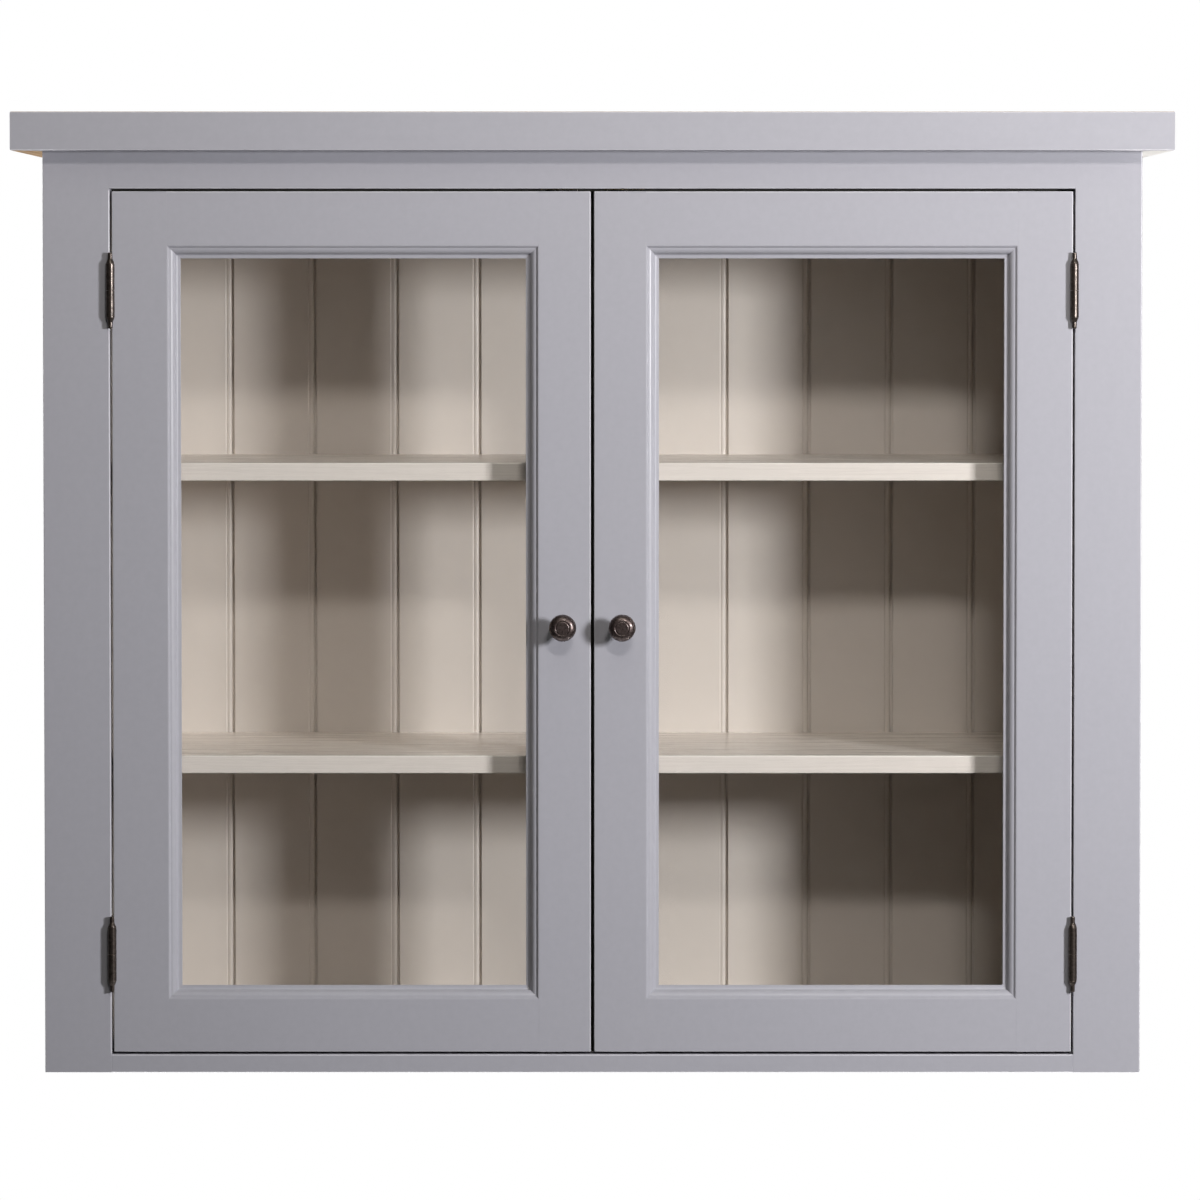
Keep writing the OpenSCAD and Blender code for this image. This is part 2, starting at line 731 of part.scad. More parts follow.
// The left door's hinge screws, catch screws and the bolt that holds the knob
module door_fasteners() {
    color(steel) {
        door_hinge_screws();
        translate([catch_x, catch_y, 0]) catch_screws();
        translate([knob_x, 0, knob_z]) {
            bar_y(bolt_r, face_y - bolt_in_knob, door_back_y + bolt_head_t / 2);
            bar_y(bolt_head_r, door_back_y, door_back_y + bolt_head_t);
        }
    }
}

// The screws on the frame: those of the hinges and those of the strikes
module frame_fasteners() {
    color(steel) both_sides() {
        frame_hinge_screws();
        translate([catch_x, catch_y, 0]) strike_screws();
    }
}

// The two screws of a catch plate, down into the door
module catch_screws(gap = 0) {
    for (x = [-1, 1]) translate([x * catch_screw_x, 0, door_z1]) rotate([180, 0, 0])
        screw(catch_screw_r, catch_head_r, catch_head_h, catch_screw_l, gap);
}

// The two screws of a strike, up into the rail
module strike_screws(gap = 0) {
    for (x = [-1, 1]) translate([x * catch_screw_x, 0, strike_z])
        screw(catch_screw_r, catch_head_r, catch_head_h, catch_screw_l, gap);
}

// The catch's plate and barrel, let into the top of the left door
module catch_plate() {
    color(brass) translate([catch_x, catch_y, 0]) difference() {
        union() {
            block([-plate_l / 2, -plate_w / 2, door_z1 - plate_t], [plate_l / 2, plate_w / 2, door_z1]);
            cylinder_between(barrel_r, door_z1 - barrel_h, door_z1 - plate_t / 2);
        }
        cylinder_between(ball_r + ball_clear, barrel_floor_z, door_z1 - lip_t);
        cylinder_between(lip_r, barrel_floor_z, door_z1 + eps);
        catch_screws(hole_gap);
    }
}

module catch_ball() {
    color(steel) translate([catch_x, catch_y, ball_z]) sphere(r = ball_r);
}

// The spring under the ball, as a plain sleeve of the coil's size
module catch_spring() {
    color(steel) translate([catch_x, catch_y, 0]) difference() {
        cylinder_between(spring_r, barrel_floor_z, spring_top_z);
        cylinder_between(spring_hole_r, barrel_floor_z - eps, spring_top_z + eps);
    }
}

// The plates under the frame's top rail that the balls meet
module catch_strikes() {
    color(brass) both_sides() translate([catch_x, catch_y, 0]) difference() {
        block([-plate_l / 2, -plate_w / 2, strike_z], [plate_l / 2, plate_w / 2, strike_z + plate_t]);
        cylinder_between(lip_r, strike_z - eps, strike_z + plate_t + eps);
        strike_screws(hole_gap);
    }
}

left_side_panel();
mirror([1, 0, 0]) left_side_panel();  // right_side_panel
top_panel();
bottom_panel();
shelf(lower_shelf_z);  // lower_shelf
shelf(upper_shelf_z);  // upper_shelf
hanging_rail();
lower_batten();
left_frame_stile();
mirror([1, 0, 0]) left_frame_stile();  // right_frame_stile
top_frame_rail();
bottom_frame_rail();
cornice_front();
cornice_left();
mirror([1, 0, 0]) cornice_left();  // cornice_right
door_stops();
centre_post();
frame_hinge_leaves();
hinge_pins();
frame_fasteners();
catch_strikes();
for (i = [1:board_n]) back_board(i);
for (side = [0, 1]) mirror([side, 0, 0]) {
    name = side == 0 ? "left_" : "right_";
    door_outer_stile();
    door_meeting_stile();
    door_top_rail();
    door_bottom_rail();
    door_moulding();
    door_glass();
    door_rear_beads();
    door_hinge_leaves();
    door_knob();
    door_fasteners();
    catch_plate();
    catch_ball();
    catch_spring();
}
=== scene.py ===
import json
import math

import bmesh
import bpy
import numpy as np
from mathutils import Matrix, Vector


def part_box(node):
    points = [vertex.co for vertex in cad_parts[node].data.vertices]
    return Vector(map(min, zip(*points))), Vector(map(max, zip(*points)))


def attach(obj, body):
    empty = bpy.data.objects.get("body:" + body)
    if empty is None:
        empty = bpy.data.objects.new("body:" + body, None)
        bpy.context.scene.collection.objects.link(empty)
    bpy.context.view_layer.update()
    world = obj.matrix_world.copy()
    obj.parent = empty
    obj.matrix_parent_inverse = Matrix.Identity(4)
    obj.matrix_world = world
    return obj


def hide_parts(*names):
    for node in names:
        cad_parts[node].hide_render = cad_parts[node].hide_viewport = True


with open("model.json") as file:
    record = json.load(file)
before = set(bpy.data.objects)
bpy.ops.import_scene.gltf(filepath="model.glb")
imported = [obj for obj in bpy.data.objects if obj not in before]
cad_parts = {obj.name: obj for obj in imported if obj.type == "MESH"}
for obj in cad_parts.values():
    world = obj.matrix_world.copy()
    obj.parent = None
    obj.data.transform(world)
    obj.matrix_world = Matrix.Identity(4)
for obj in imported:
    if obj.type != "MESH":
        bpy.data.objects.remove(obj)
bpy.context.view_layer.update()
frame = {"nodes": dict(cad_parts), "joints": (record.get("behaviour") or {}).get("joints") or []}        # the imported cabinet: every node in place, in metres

nodes = frame["nodes"]
mm = 0.001
tiny = 1e-6               # the least radius, so that a square corner is worked out like a round one
axisGap = 0.1 * mm        # what a turned end leaves open round its axis, so that no point is there twice
xAxis, yAxis, zAxis = np.eye(3)
sides = {"left": -1, "right": 1}


def nodeBox(name):
    low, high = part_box(name)
    return np.array(low), np.array(high)


# Shader node helpers

def feed(tree, socket, value):
    if isinstance(value, bpy.types.NodeSocket):
        tree.links.new(value, socket)
    else:
        socket.default_value = value


def addNode(tree, kind, settings=None, **inputs):
    node = tree.nodes.new(kind)
    for key, value in (settings or {}).items():
        setattr(node, key, value)
    for key, value in inputs.items():
        feed(tree, node.inputs[key.replace("_", " ")], value)
    return node


def mathNode(tree, operation, first, second=0.0):
    node = addNode(tree, "ShaderNodeMath", {"operation": operation})
    for socket, value in zip(node.inputs, (first, second)):
        feed(tree, socket, value)
    return node.outputs[0]


# Sockets 0, 6 and 7 are the factor and the two colours. A colour is three numbers or a node's socket.
def mixColour(tree, factor, first, second):
    node = addNode(tree, "ShaderNodeMix", {"data_type": "RGBA"})
    for index, value in ((0, factor), (6, first), (7, second)):
        feed(tree, node.inputs[index], (*value, 1) if isinstance(value, tuple) else value)
    return node.outputs[2]


def mixShader(tree, factor, first, second):
    node = addNode(tree, "ShaderNodeMixShader")
    for socket, value in zip(node.inputs, (factor, first, second)):
        feed(tree, socket, value)
    return node.outputs[0]


# The value's stretch from low to high, laid evenly over the new stretch and held at both ends
def spread(tree, value, low, high, newLow=0.0, newHigh=1.0):
    node = addNode(tree, "ShaderNodeMapRange", {"clamp": True}, Value=value, From_Min=low, From_Max=high,
                   To_Min=newLow, To_Max=newHigh)
    return node.outputs[0]


def noise(tree, vector, scale, detail, rough, distortion=0.0):
    node = addNode(tree, "ShaderNodeTexNoise", Vector=vector, Scale=scale, Detail=detail, Roughness=rough,
                   Distortion=distortion)
    return node.outputs[0]


# Every group takes a vector first. A default of three numbers makes a vector socket, one number a value.
def newGroup(name, defaults, outputs):
    tree = bpy.data.node_groups.new(name, "ShaderNodeTree")
    tree.interface.new_socket("Vector", in_out="INPUT", socket_type="NodeSocketVector")
    for label, value in defaults.items():
        kind = "NodeSocketVector" if isinstance(value, tuple) else "NodeSocketFloat"
        tree.interface.new_socket(label, in_out="INPUT", socket_type=kind).default_value = value
    for label in outputs:
        tree.interface.new_socket(label, in_out="OUTPUT", socket_type="NodeSocketFloat")
    return tree, tree.nodes.new("NodeGroupInput").outputs, tree.nodes.new("NodeGroupOutput").inputs


def placeGroup(tree, group, **inputs):
    return addNode(tree, "ShaderNodeGroup", {"node_tree": group}, **inputs).outputs


# A group's vector, drawn out by its stretch
def drawnOut(tree, given):
    node = addNode(tree, "ShaderNodeVectorMath", {"operation": "MULTIPLY"})
    for socket, label in zip(node.inputs, ("Vector", "Stretch")):
        feed(tree, socket, given[label])
    return node.outputs[0]


# Effects that several finishes share. A noise is its scale, detail, roughness and distortion, without the
# scale where the group is given one. A band is the stretch of a noise that is spread from the least to 1.

brushLook = {"stretch": (700, 700, 12), "coatScale": 130.0, "coat": (4.0, 0.65), "coatShare": 0.85,
             "fine": (1.0, 3.0, 0.6), "fineShare": 0.15}
arrisWearAndHighlightLook = {"amount": 0.5, "patchScale": 60.0, "patches": (3.0, 0.7), "band": (0.35, 0.65), "least": 0.6}
dustLook = {"amount": 0.3, "level": (0.6, 0.98), "specks": (140.0, 5.0, 0.75), "band": (0.4, 0.75),
            "least": 0.2}
mottleLook = {"scale": 260.0, "clouds": (4.0, 0.65, 0.6), "band": (0.35, 0.65), "cellScale": 1.7,
              "cellSize": (0.0, 0.6)}
grainLook = {"stretch": (60, 60, 3.5), "growth": (0.30, 1.5, 0.4), "rings": 95.0, "pores": (9.0, 4.0, 0.7)}


# Bristle lines: a noise drawn out along the brush stroke, with a cloudy one for the uneven coat
def makeBrushMarks():
    look = brushLook
    defaults = {"Stretch": look["stretch"], "Coat Scale": look["coatScale"]}
    tree, given, result = newGroup("brushMarks", defaults, ["Tone", "Height"])
    fine = noise(tree, drawnOut(tree, given), *look["fine"])
    coat = noise(tree, given["Vector"], given["Coat Scale"], *look["coat"])
    tone = mathNode(tree, "ADD", mathNode(tree, "MULTIPLY", fine, look["fineShare"]),
                    mathNode(tree, "MULTIPLY", coat, look["coatShare"]))
    tree.links.new(tone, result["Tone"])
    tree.links.new(fine, result["Height"])
    return tree


# Paint or patina rubbed thin on the rounded arrises, which the arris attribute marks. On the paint the
# lighter arris colour is also a painted highlight along the edges.
def makeArrisWearAndHighlight():
    look = arrisWearAndHighlightLook
    defaults = {"Amount": look["amount"], "Patch Scale": look["patchScale"]}
    tree, given, result = newGroup("arrisWear", defaults, ["Wear"])
    marked = addNode(tree, "ShaderNodeAttribute", {"attribute_name": "arris"})
    patches = noise(tree, given["Vector"], given["Patch Scale"], *look["patches"])
    broken = mathNode(tree, "MULTIPLY", marked.outputs["Fac"],
                      spread(tree, patches, *look["band"], look["least"]))
    tree.links.new(mathNode(tree, "MULTIPLY", broken, given["Amount"]), result["Wear"])
    return tree


# Dust that settles where a surface faces up
def makeSettledDust():
    look = dustLook
    tree, given, result = newGroup("settledDust", {"Amount": look["amount"]}, ["Dust"])
    normal = addNode(tree, "ShaderNodeNewGeometry").outputs["Normal"]
    upward = addNode(tree, "ShaderNodeSeparateXYZ", Vector=normal).outputs["Z"]
    specks = noise(tree, given["Vector"], *look["specks"])
    dust = mathNode(tree, "MULTIPLY", spread(tree, upward, *look["level"]),
                    spread(tree, specks, *look["band"], look["least"]))
    tree.links.new(mathNode(tree, "MULTIPLY", dust, given["Amount"]), result["Dust"])
    return tree


# Patchy colour of an aged casting: clouds broken up by small cells
def makeMottling():
    look = mottleLook
    tree, given, result = newGroup("mottling", {"Scale": look["scale"]}, ["Patches", "Pits"])
    clouds = noise(tree, given["Vector"], given["Scale"], *look["clouds"])
    cells = addNode(tree, "ShaderNodeTexVoronoi", Vector=given["Vector"],
                    Scale=mathNode(tree, "MULTIPLY", given["Scale"], look["cellScale"]))
    tree.links.new(spread(tree, clouds, *look["band"]), result["Patches"])
    tree.links.new(spread(tree, cells.outputs["Distance"], *look["cellSize"]), result["Pits"])
    return tree


# Growth rings cut along the grain: sin(rings * noise), the noise drawn out along the board, with fine pores
def makePineGrain():
    look = grainLook
    tree, given, result = newGroup("pineGrain", {"Stretch": look["stretch"]}, ["Rings", "Pores"])
    drawn = drawnOut(tree, given)
    growth = noise(tree, drawn, *look["growth"])
    rings = mathNode(tree, "SINE", mathNode(tree, "MULTIPLY", growth, look["rings"]))
    tree.links.new(spread(tree, rings, -1.0, 1.0), result["Rings"])
    tree.links.new(noise(tree, drawn, *look["pores"]), result["Pores"])
    return tree


brushMarks = makeBrushMarks()
arrisWear = makeArrisWearAndHighlight()
settledDust = makeSettledDust()
mottling = makeMottling()
pineGrain = makePineGrain()

# Finishes

grainStretch = {          # how far a pattern is drawn out along X, Y and Z
    "upright": (1.0, 1.0, 0.016),
    "level": (0.016, 1.0, 1.0),
    "deep": (1.0, 0.016, 1.0),
}


def along(direction, scale):
    return tuple(scale * part for part in grainStretch[direction])


def newMaterial(name):
    material = bpy.data.materials.new(name)
    material.use_nodes = True
    tree = material.node_tree
    tree.nodes.clear()
    return material, tree, addNode(tree, "ShaderNodeBsdfPrincipled")


def placeOnObject(tree):
    return addNode(tree, "ShaderNodeTexCoord").outputs["Object"]


def setSurface(tree, shader):
    addNode(tree, "ShaderNodeOutputMaterial", Surface=shader)


# The relief is the share of the depth that the height raises
def dress(tree, skin, colour, rough, relief, depth, height):
    bump = addNode(tree, "ShaderNodeBump", Strength=relief, Distance=depth, Height=height)
    for label, value in (("Base Color", colour), ("Roughness", rough), ("Normal", bump.outputs[0])):
        feed(tree, skin.inputs[label], value)
    setSurface(tree, skin.outputs[0])


coatLook = {"tones": (0.35, 0.65), "strokes": (0.3, 0.7), "glossSwing": 0.05, "depth": 0.05 * mm}
# The rubbed colours are lighter than the coats: on painted arrises they are partly worn paint and partly a
# painted highlight
lavender = {"dark": (0.427, 0.421, 0.464), "light": (0.443, 0.437, 0.481), "rubbed": (0.66, 0.65, 0.69),
            "dustColour": (0.50, 0.49, 0.50), "bristles": 600, "wear": 0.85, "dust": 0.12, "rough": 0.35,
            "relief": 0.3}
stone = {"dark": (0.696, 0.640, 0.581), "light": (0.714, 0.658, 0.599), "rubbed": (0.84, 0.79, 0.73),
         "dustColour": (0.66, 0.62, 0.56), "bristles": 600, "wear": 0.8, "dust": 0.25, "rough": 0.45,
         "relief": 0.35}
# The shelves carry the same stone paint as the boards, painted lighter here to stand in for the extra light
# that falls on them
shelfStonePaintedLight = {**stone, "dark": (0.838, 0.773, 0.707), "light": (0.862, 0.795, 0.729),
              "rubbed": (0.96, 0.92, 0.86), "dustColour": (0.90, 0.84, 0.77), "rough": 0.28}
# Near-white paint for the right cornice's underside: painted light that stands in for light falling on it
# from below
paleUndersidePaintedLight = {**stone, "dark": (0.88, 0.86, 0.83), "light": (0.92, 0.90, 0.87)}
# Near-black paint that stands in for the shade in the gaps round the doors
gapShade = {**stone, "dark": (0.020, 0.018, 0.014), "light": (0.028, 0.025, 0.020),
          "rubbed": (0.05, 0.045, 0.04), "dust": 0.05, "rough": 0.8}


# Brushed paint: an uneven coat, thin on the arrises and lighter there, partly wear and partly a painted
# highlight, with a little dust
def makePaint(name, direction, look):
    material, tree, skin = newMaterial(name)
    place = placeOnObject(tree)
    marks = placeGroup(tree, brushMarks, Vector=place, Stretch=along(direction, look["bristles"]))
    worn = placeGroup(tree, arrisWear, Vector=place, Amount=look["wear"])["Wear"]
    dusty = placeGroup(tree, settledDust, Vector=place, Amount=look["dust"])["Dust"]
    coat = mixColour(tree, spread(tree, marks["Tone"], *coatLook["tones"]), look["dark"], look["light"])
    thinAndHighlit = mixColour(tree, worn, coat, look["rubbed"])
    rough = spread(tree, marks["Height"], *coatLook["strokes"], look["rough"] - coatLook["glossSwing"],
                   look["rough"] + coatLook["glossSwing"])
    dress(tree, skin, mixColour(tree, dusty, thinAndHighlit, look["dustColour"]), rough, look["relief"],
          coatLook["depth"], marks["Height"])
    return material


outsideUpright = makePaint("lavenderPaintUpright", "upright", lavender)
outsideLevel = makePaint("lavenderPaintLevel", "level", lavender)
outsideDeep = makePaint("lavenderPaintDeep", "deep", lavender)
insideUpright = makePaint("stonePaintUpright", "upright", stone)
insideLevel = makePaint("stonePaintLevel", "level", stone)
shelfPaintedLightLevel = makePaint("shelfPaintLevel", "level", shelfStonePaintedLight)
paleUndersidePaintedLightDeep = makePaint("palePrimerDeep", "deep", paleUndersidePaintedLight)
gapShadeUpright = makePaint("darkLiningUpright", "upright", gapShade)
gapShadeLevel = makePaint("darkLiningLevel", "level", gapShade)

pine = {"pale": (0.62, 0.43, 0.25), "ring": (0.47, 0.27, 0.12), "dustColour": (0.50, 0.46, 0.41),
        "dust": 0.5, "stretch": 42, "late": (0.45, 1.0), "lateMost": 0.8, "pores": (0.3, 0.7),
        "poreLeast": 0.7, "smooth": 0.54, "rough": 0.72, "relief": 0.5, "depth": 0.1 * mm}


# Bare sawn pine: darker late wood in its rings, broken up by the pores
def makePine(name, direction):
    material, tree, skin = newMaterial(name)
    place = placeOnObject(tree)
    grain = placeGroup(tree, pineGrain, Vector=place, Stretch=along(direction, pine["stretch"]))
    dusty = placeGroup(tree, settledDust, Vector=place, Amount=pine["dust"])["Dust"]
    late = mathNode(tree, "MULTIPLY", spread(tree, grain["Rings"], *pine["late"], 0.0, pine["lateMost"]),
                    spread(tree, grain["Pores"], *pine["pores"], pine["poreLeast"]))
    sawn = mixColour(tree, late, pine["pale"], pine["ring"])
    rough = spread(tree, grain["Pores"], *pine["pores"], pine["smooth"], pine["rough"])
    dress(tree, skin, mixColour(tree, dusty, sawn, pine["dustColour"]), rough, pine["relief"], pine["depth"],
          grain["Pores"])
    return material


pineUpright = makePine("barePineUpright", "upright")
pineLevel = makePine("barePineLevel", "level")
pineDeep = makePine("barePineDeep", "deep")

metalLook = {"wearScale": 300.0, "duller": 0.08, "shinier": 0.05, "lacquerRough": 0.16, "depth": 0.08 * mm}
bronze = {"dark": (0.050, 0.038, 0.032), "light": (0.13, 0.105, 0.09), "rubbed": (0.36, 0.27, 0.20),
          "wear": 0.3, "rough": 0.33, "scale": 300.0, "metallic": 0.8, "relief": 0.15, "lacquer": 0.15}
pewter = {"dark": (0.045, 0.032, 0.030), "light": (0.17, 0.128, 0.12), "rubbed": (0.24, 0.19, 0.18),
          "wear": 0.2, "rough": 0.37, "scale": 420.0, "metallic": 0.85, "relief": 0.35, "lacquer": 0.35}
brass = {"dark": (0.55, 0.40, 0.16), "light": (0.72, 0.55, 0.26), "rubbed": (0.85, 0.70, 0.42),
         "wear": 0.4, "rough": 0.25, "scale": 180.0, "metallic": 1.0, "relief": 0.1, "lacquer": 0.0}
steel = {"dark": (0.42, 0.41, 0.40), "light": (0.60, 0.59, 0.58), "rubbed": (0.75, 0.74, 0.73),
         "wear": 0.4, "rough": 0.28, "scale": 300.0, "metallic": 1.0, "relief": 0.1, "lacquer": 0.0}


# Cast or turned metal: a mottled patina, rubbed through on the arrises, under a thin lacquer
def makeMetal(name, look):
    material, tree, skin = newMaterial(name)
    place = placeOnObject(tree)
    patches = placeGroup(tree, mottling, Vector=place, Scale=look["scale"])
    worn = placeGroup(tree, arrisWear, Vector=place, Amount=look["wear"], Patch_Scale=metalLook["wearScale"])
    aged = mixColour(tree, patches["Patches"], look["dark"], look["light"])
    rough = spread(tree, patches["Patches"], 0.0, 1.0, look["rough"] + metalLook["duller"],
                   look["rough"] - metalLook["shinier"])
    for label, value in (("Metallic", look["metallic"]), ("Coat Weight", look["lacquer"]),
                         ("Coat Roughness", metalLook["lacquerRough"])):
        feed(tree, skin.inputs[label], value)
    dress(tree, skin, mixColour(tree, worn["Wear"], aged, look["rubbed"]), rough, look["relief"],
          metalLook["depth"], patches["Pits"])
    return material


agedBronze = makeMetal("agedBronze", bronze)
agedPewter = makeMetal("agedPewter", pewter)
plainBrass = makeMetal("plainBrass", brass)
brightSteel = makeMetal("brightSteel", steel)

glassLook = {"colour": (1.0, 1.0, 1.0, 1), "rough": 0.0, "bending": 1.5,
             "letsThrough": (0.957, 0.957, 0.957, 1)}


# Clear float glass: light and shade pass straight through, and gloss stays
def makePaneGlass():
    look = glassLook
    material, tree, skin = newMaterial("paneGlass")
    for label, value in (("Base Color", look["colour"]), ("Roughness", look["rough"]),
                         ("IOR", look["bending"]), ("Transmission Weight", 1.0)):
        feed(tree, skin.inputs[label], value)
    clear = addNode(tree, "ShaderNodeBsdfTransparent", Color=look["letsThrough"])
    ray = addNode(tree, "ShaderNodeLightPath").outputs
    passes = mathNode(tree, "MAXIMUM", ray["Is Shadow Ray"], ray["Is Diffuse Ray"])
    setSurface(tree, mixShader(tree, passes, skin.outputs[0], clear.outputs[0]))
    return material


paneGlass = makePaneGlass()
print("finishes made")

# Surfaces. A shape holds its points, their normals, how worn each is as an arris, which on paint also sets a
# painted highlight, blocks of face corners, and the number of each face's material.

# The fully worn radius is the least that wears through, and the plateau is how broadly along its arc.
arrisLook = {"fullyWorn": 1.2 * mm, "plateau": 2.4, "smallEase": 0.1 * mm}


# Each row of numbers over its length
def unit(ways):
    return ways / np.maximum(np.linalg.norm(ways, axis=1), tiny ** 2)[:, None]


# Every corner of a closed outline gives way to an arc that touches both sides. With back and ahead the unit
# ways to the corner's neighbours, the arc's centre is
# corner + unit(back + ahead) * radius / sin(half the corner's angle).
def roundCorners(corners, radii, steps=4):
    corners = np.asarray(corners, float)
    radii = np.maximum(np.atleast_2d(np.asarray(radii, float)), tiny)
    radii = np.broadcast_to(radii, (len(radii), len(corners)))
    back = unit(np.roll(corners, 1, 0) - corners)
    ahead = unit(np.roll(corners, -1, 0) - corners)
    half = np.arccos(np.clip((back * ahead).sum(1), -1, 1)) / 2
    middle = unit(back + ahead) / np.sin(half)[:, None]
    first = (back / np.tan(half)[:, None] - middle)[:, None]
    last = (ahead / np.tan(half)[:, None] - middle)[:, None]
    turn = (math.pi - 2 * half)[:, None, None]
    share = np.linspace(0, 1, steps + 1)[None, :, None]
    way = (np.sin((1 - share) * turn) * first + np.sin(share * turn) * last) / np.sin(turn)
    centre = corners[None] + middle[None] * radii[..., None]
    points = centre[:, :, None] + radii[..., None, None] * way[None]
    outward = np.sign(back[:, 1] * ahead[:, 0] - back[:, 0] * ahead[:, 1])[:, None, None]
    alongArc = np.clip(arrisLook["plateau"] * np.sin(math.pi * share[..., 0]), 0, 1)
    arris = alongArc * np.clip(radii / arrisLook["fullyWorn"], 0, 1)[..., None]
    rows = len(radii)
    return points.reshape(rows, -1, 2), (way * outward).reshape(-1, 2), arris.reshape(rows, -1)


# A point is number row * columns + column. A face joins it to its neighbours in this row and the next. A grid
# whose last row doesn't join its first also gets a face over each of those two rows.
def gridFaces(rows, columns, wrapRows=False):
    numbers = np.arange(rows * columns).reshape(rows, columns)
    here = numbers if wrapRows else numbers[:-1]
    after = np.roll(numbers, -1, 0)[:len(here)]
    quads = np.stack([here, np.roll(here, -1, 1), np.roll(after, -1, 1), after], -1).reshape(-1, 4)
    return [quads] if wrapRows else [quads, np.stack([numbers[0, ::-1], numbers[-1]])]


# An outline carried along a straight line, from its first station to its last, with the arrises of both ends
# turned over a quarter circle. A mitre adds slope * (place in the outline) to a point's way along the line.
def carry(outline, radii, stations, axes, origin=(0, 0, 0), ease=arrisLook["smallEase"],
          slopes=((0, 0), (0, 0)), steps=4):
    section, normals, arris = roundCorners(outline, radii, steps)
    stations = np.asarray(stations, float)
    count = section.shape[1]
    if len(section) == 1:
        section = np.repeat(section, len(stations), 0)
        arris = np.repeat(arris, len(stations), 0)
    ease = np.repeat(np.broadcast_to(ease, len(outline)), steps + 1)
    turn = np.linspace(0, math.pi / 2, steps + 1)[:, None]
    inset = normals * (ease * (1 - np.cos(turn)))[..., None]
    short = ease * (1 - np.sin(turn))
    middle = np.broadcast_to(stations[1:-1, None], (len(stations) - 2, count))
    place = np.concatenate([(section[0] - inset)[::-1], section[1:-1], section[-1] - inset])
    way = np.concatenate([(stations[0] + short)[::-1], middle, stations[-1] - short])
    lean = np.concatenate([-turn[::-1], np.zeros((len(stations) - 2, 1)), turn])
    eased = np.clip(ease / arrisLook["fullyWorn"], 0, 1) * np.sin(2 * turn)
    worn = np.concatenate([np.maximum(arris[0], eased)[::-1], arris[1:-1], np.maximum(arris[-1], eased)])
    share = ((way - stations[0]) / (stations[-1] - stations[0]))[..., None]
    slope = np.asarray(slopes[0], float) * (1 - share) + np.asarray(slopes[1], float) * share
    way = way + (place * slope).sum(-1)
    first, second, line = axes
    points = np.asarray(origin) + place[..., :1] * first + place[..., 1:] * second + way[..., None] * line
    side = normals[:, :1] * first + normals[:, 1:] * second
    facing = np.cos(lean)[..., None] * side[None] + np.sin(lean)[..., None] * line
    return {"points": points.reshape(-1, 3), "normals": facing.reshape(-1, 3), "arris": worn.reshape(-1),
            "faces": gridFaces(len(points), count), "paint": 0}


# A profile of radius and height turned about an axis: (radius * cos, radius * sin, height) in the axes given
def turned(profile, normals, count, axes, origin, wrap=False, arris=None):
    angle = np.linspace(0, 2 * math.pi, count, endpoint=False)
    first, second, line = axes
    circle = np.cos(angle)[:, None] * first + np.sin(angle)[:, None] * second
    points = np.asarray(origin) + profile[:, None, :1] * circle[None] + profile[:, None, 1:] * line
    facing = normals[:, None, :1] * circle[None] + normals[:, None, 1:] * line
    worn = np.zeros(len(profile)) if arris is None else arris
    return {"points": points.reshape(-1, 3), "normals": facing.reshape(-1, 3),
            "arris": np.repeat(worn, count), "faces": gridFaces(len(profile), count, wrap), "paint": 0}


# The profile's slope turned a quarter circle outwards: (rise, -run) over its length
def profileNormals(profile):
    slope = np.gradient(profile, axis=0)
    return unit(np.stack([slope[:, 1], -slope[:, 0]], 1))


# A profile with more points: its whole length is split in even parts
def refine(profile, step):
    length = np.concatenate([[0], np.cumsum(np.linalg.norm(np.diff(profile, axis=0), axis=1))])
    places = np.linspace(0, length[-1], int(length[-1] / step) + 1)
    return np.stack([np.interp(places, length, profile[:, 0]), np.interp(places, length, profile[:, 1])], 1)


# Flat faces that share no points, each with the cross product of two of its sides for a normal
def flatShape(points, quads):
    corners = points[quads]
    facing = unit(np.cross(corners[:, 1] - corners[:, 0], corners[:, 3] - corners[:, 0]))
    count = len(quads) * 4
    return {"points": corners.reshape(-1, 3), "normals": np.repeat(facing, 4, 0), "arris": np.zeros(count),
            "faces": [np.arange(count).reshape(-1, 4)], "paint": 0}


# Several shapes as one: a shape's face corners move up by the number of points before it
def joinShapes(shapes):
    starts = np.cumsum([0] + [len(shape["points"]) for shape in shapes[:-1]])
    faces = [block + start for start, shape in zip(starts, shapes) for block in shape["faces"]]
    faceCounts = [sum(len(block) for block in shape["faces"]) for shape in shapes]
    joined = {key: np.concatenate([shape[key] for shape in shapes]) for key in ("points", "normals", "arris")}
    return {**joined, "faces": faces, "paint": np.repeat([shape["paint"] for shape in shapes], faceCounts)}


# choose(normals, centres) gives each face the number of its material
def paintFaces(mesh, choose):
    found = []
    for label in ("normal", "center"):
        values = np.zeros(len(mesh.polygons) * 3, np.float32)
        mesh.polygons.foreach_get(label, values)
        found.append(values.reshape(-1, 3))
    mesh.polygons.foreach_set("material_index", choose(*found).astype(np.int32))


def placePiece(name, mesh, body, covers, choose):
    if choose:
        paintFaces(mesh, choose)
    piece = bpy.data.objects.new(name, mesh)
    bpy.context.scene.collection.objects.link(piece)
    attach(piece, body)
    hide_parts(*covers)
    return piece


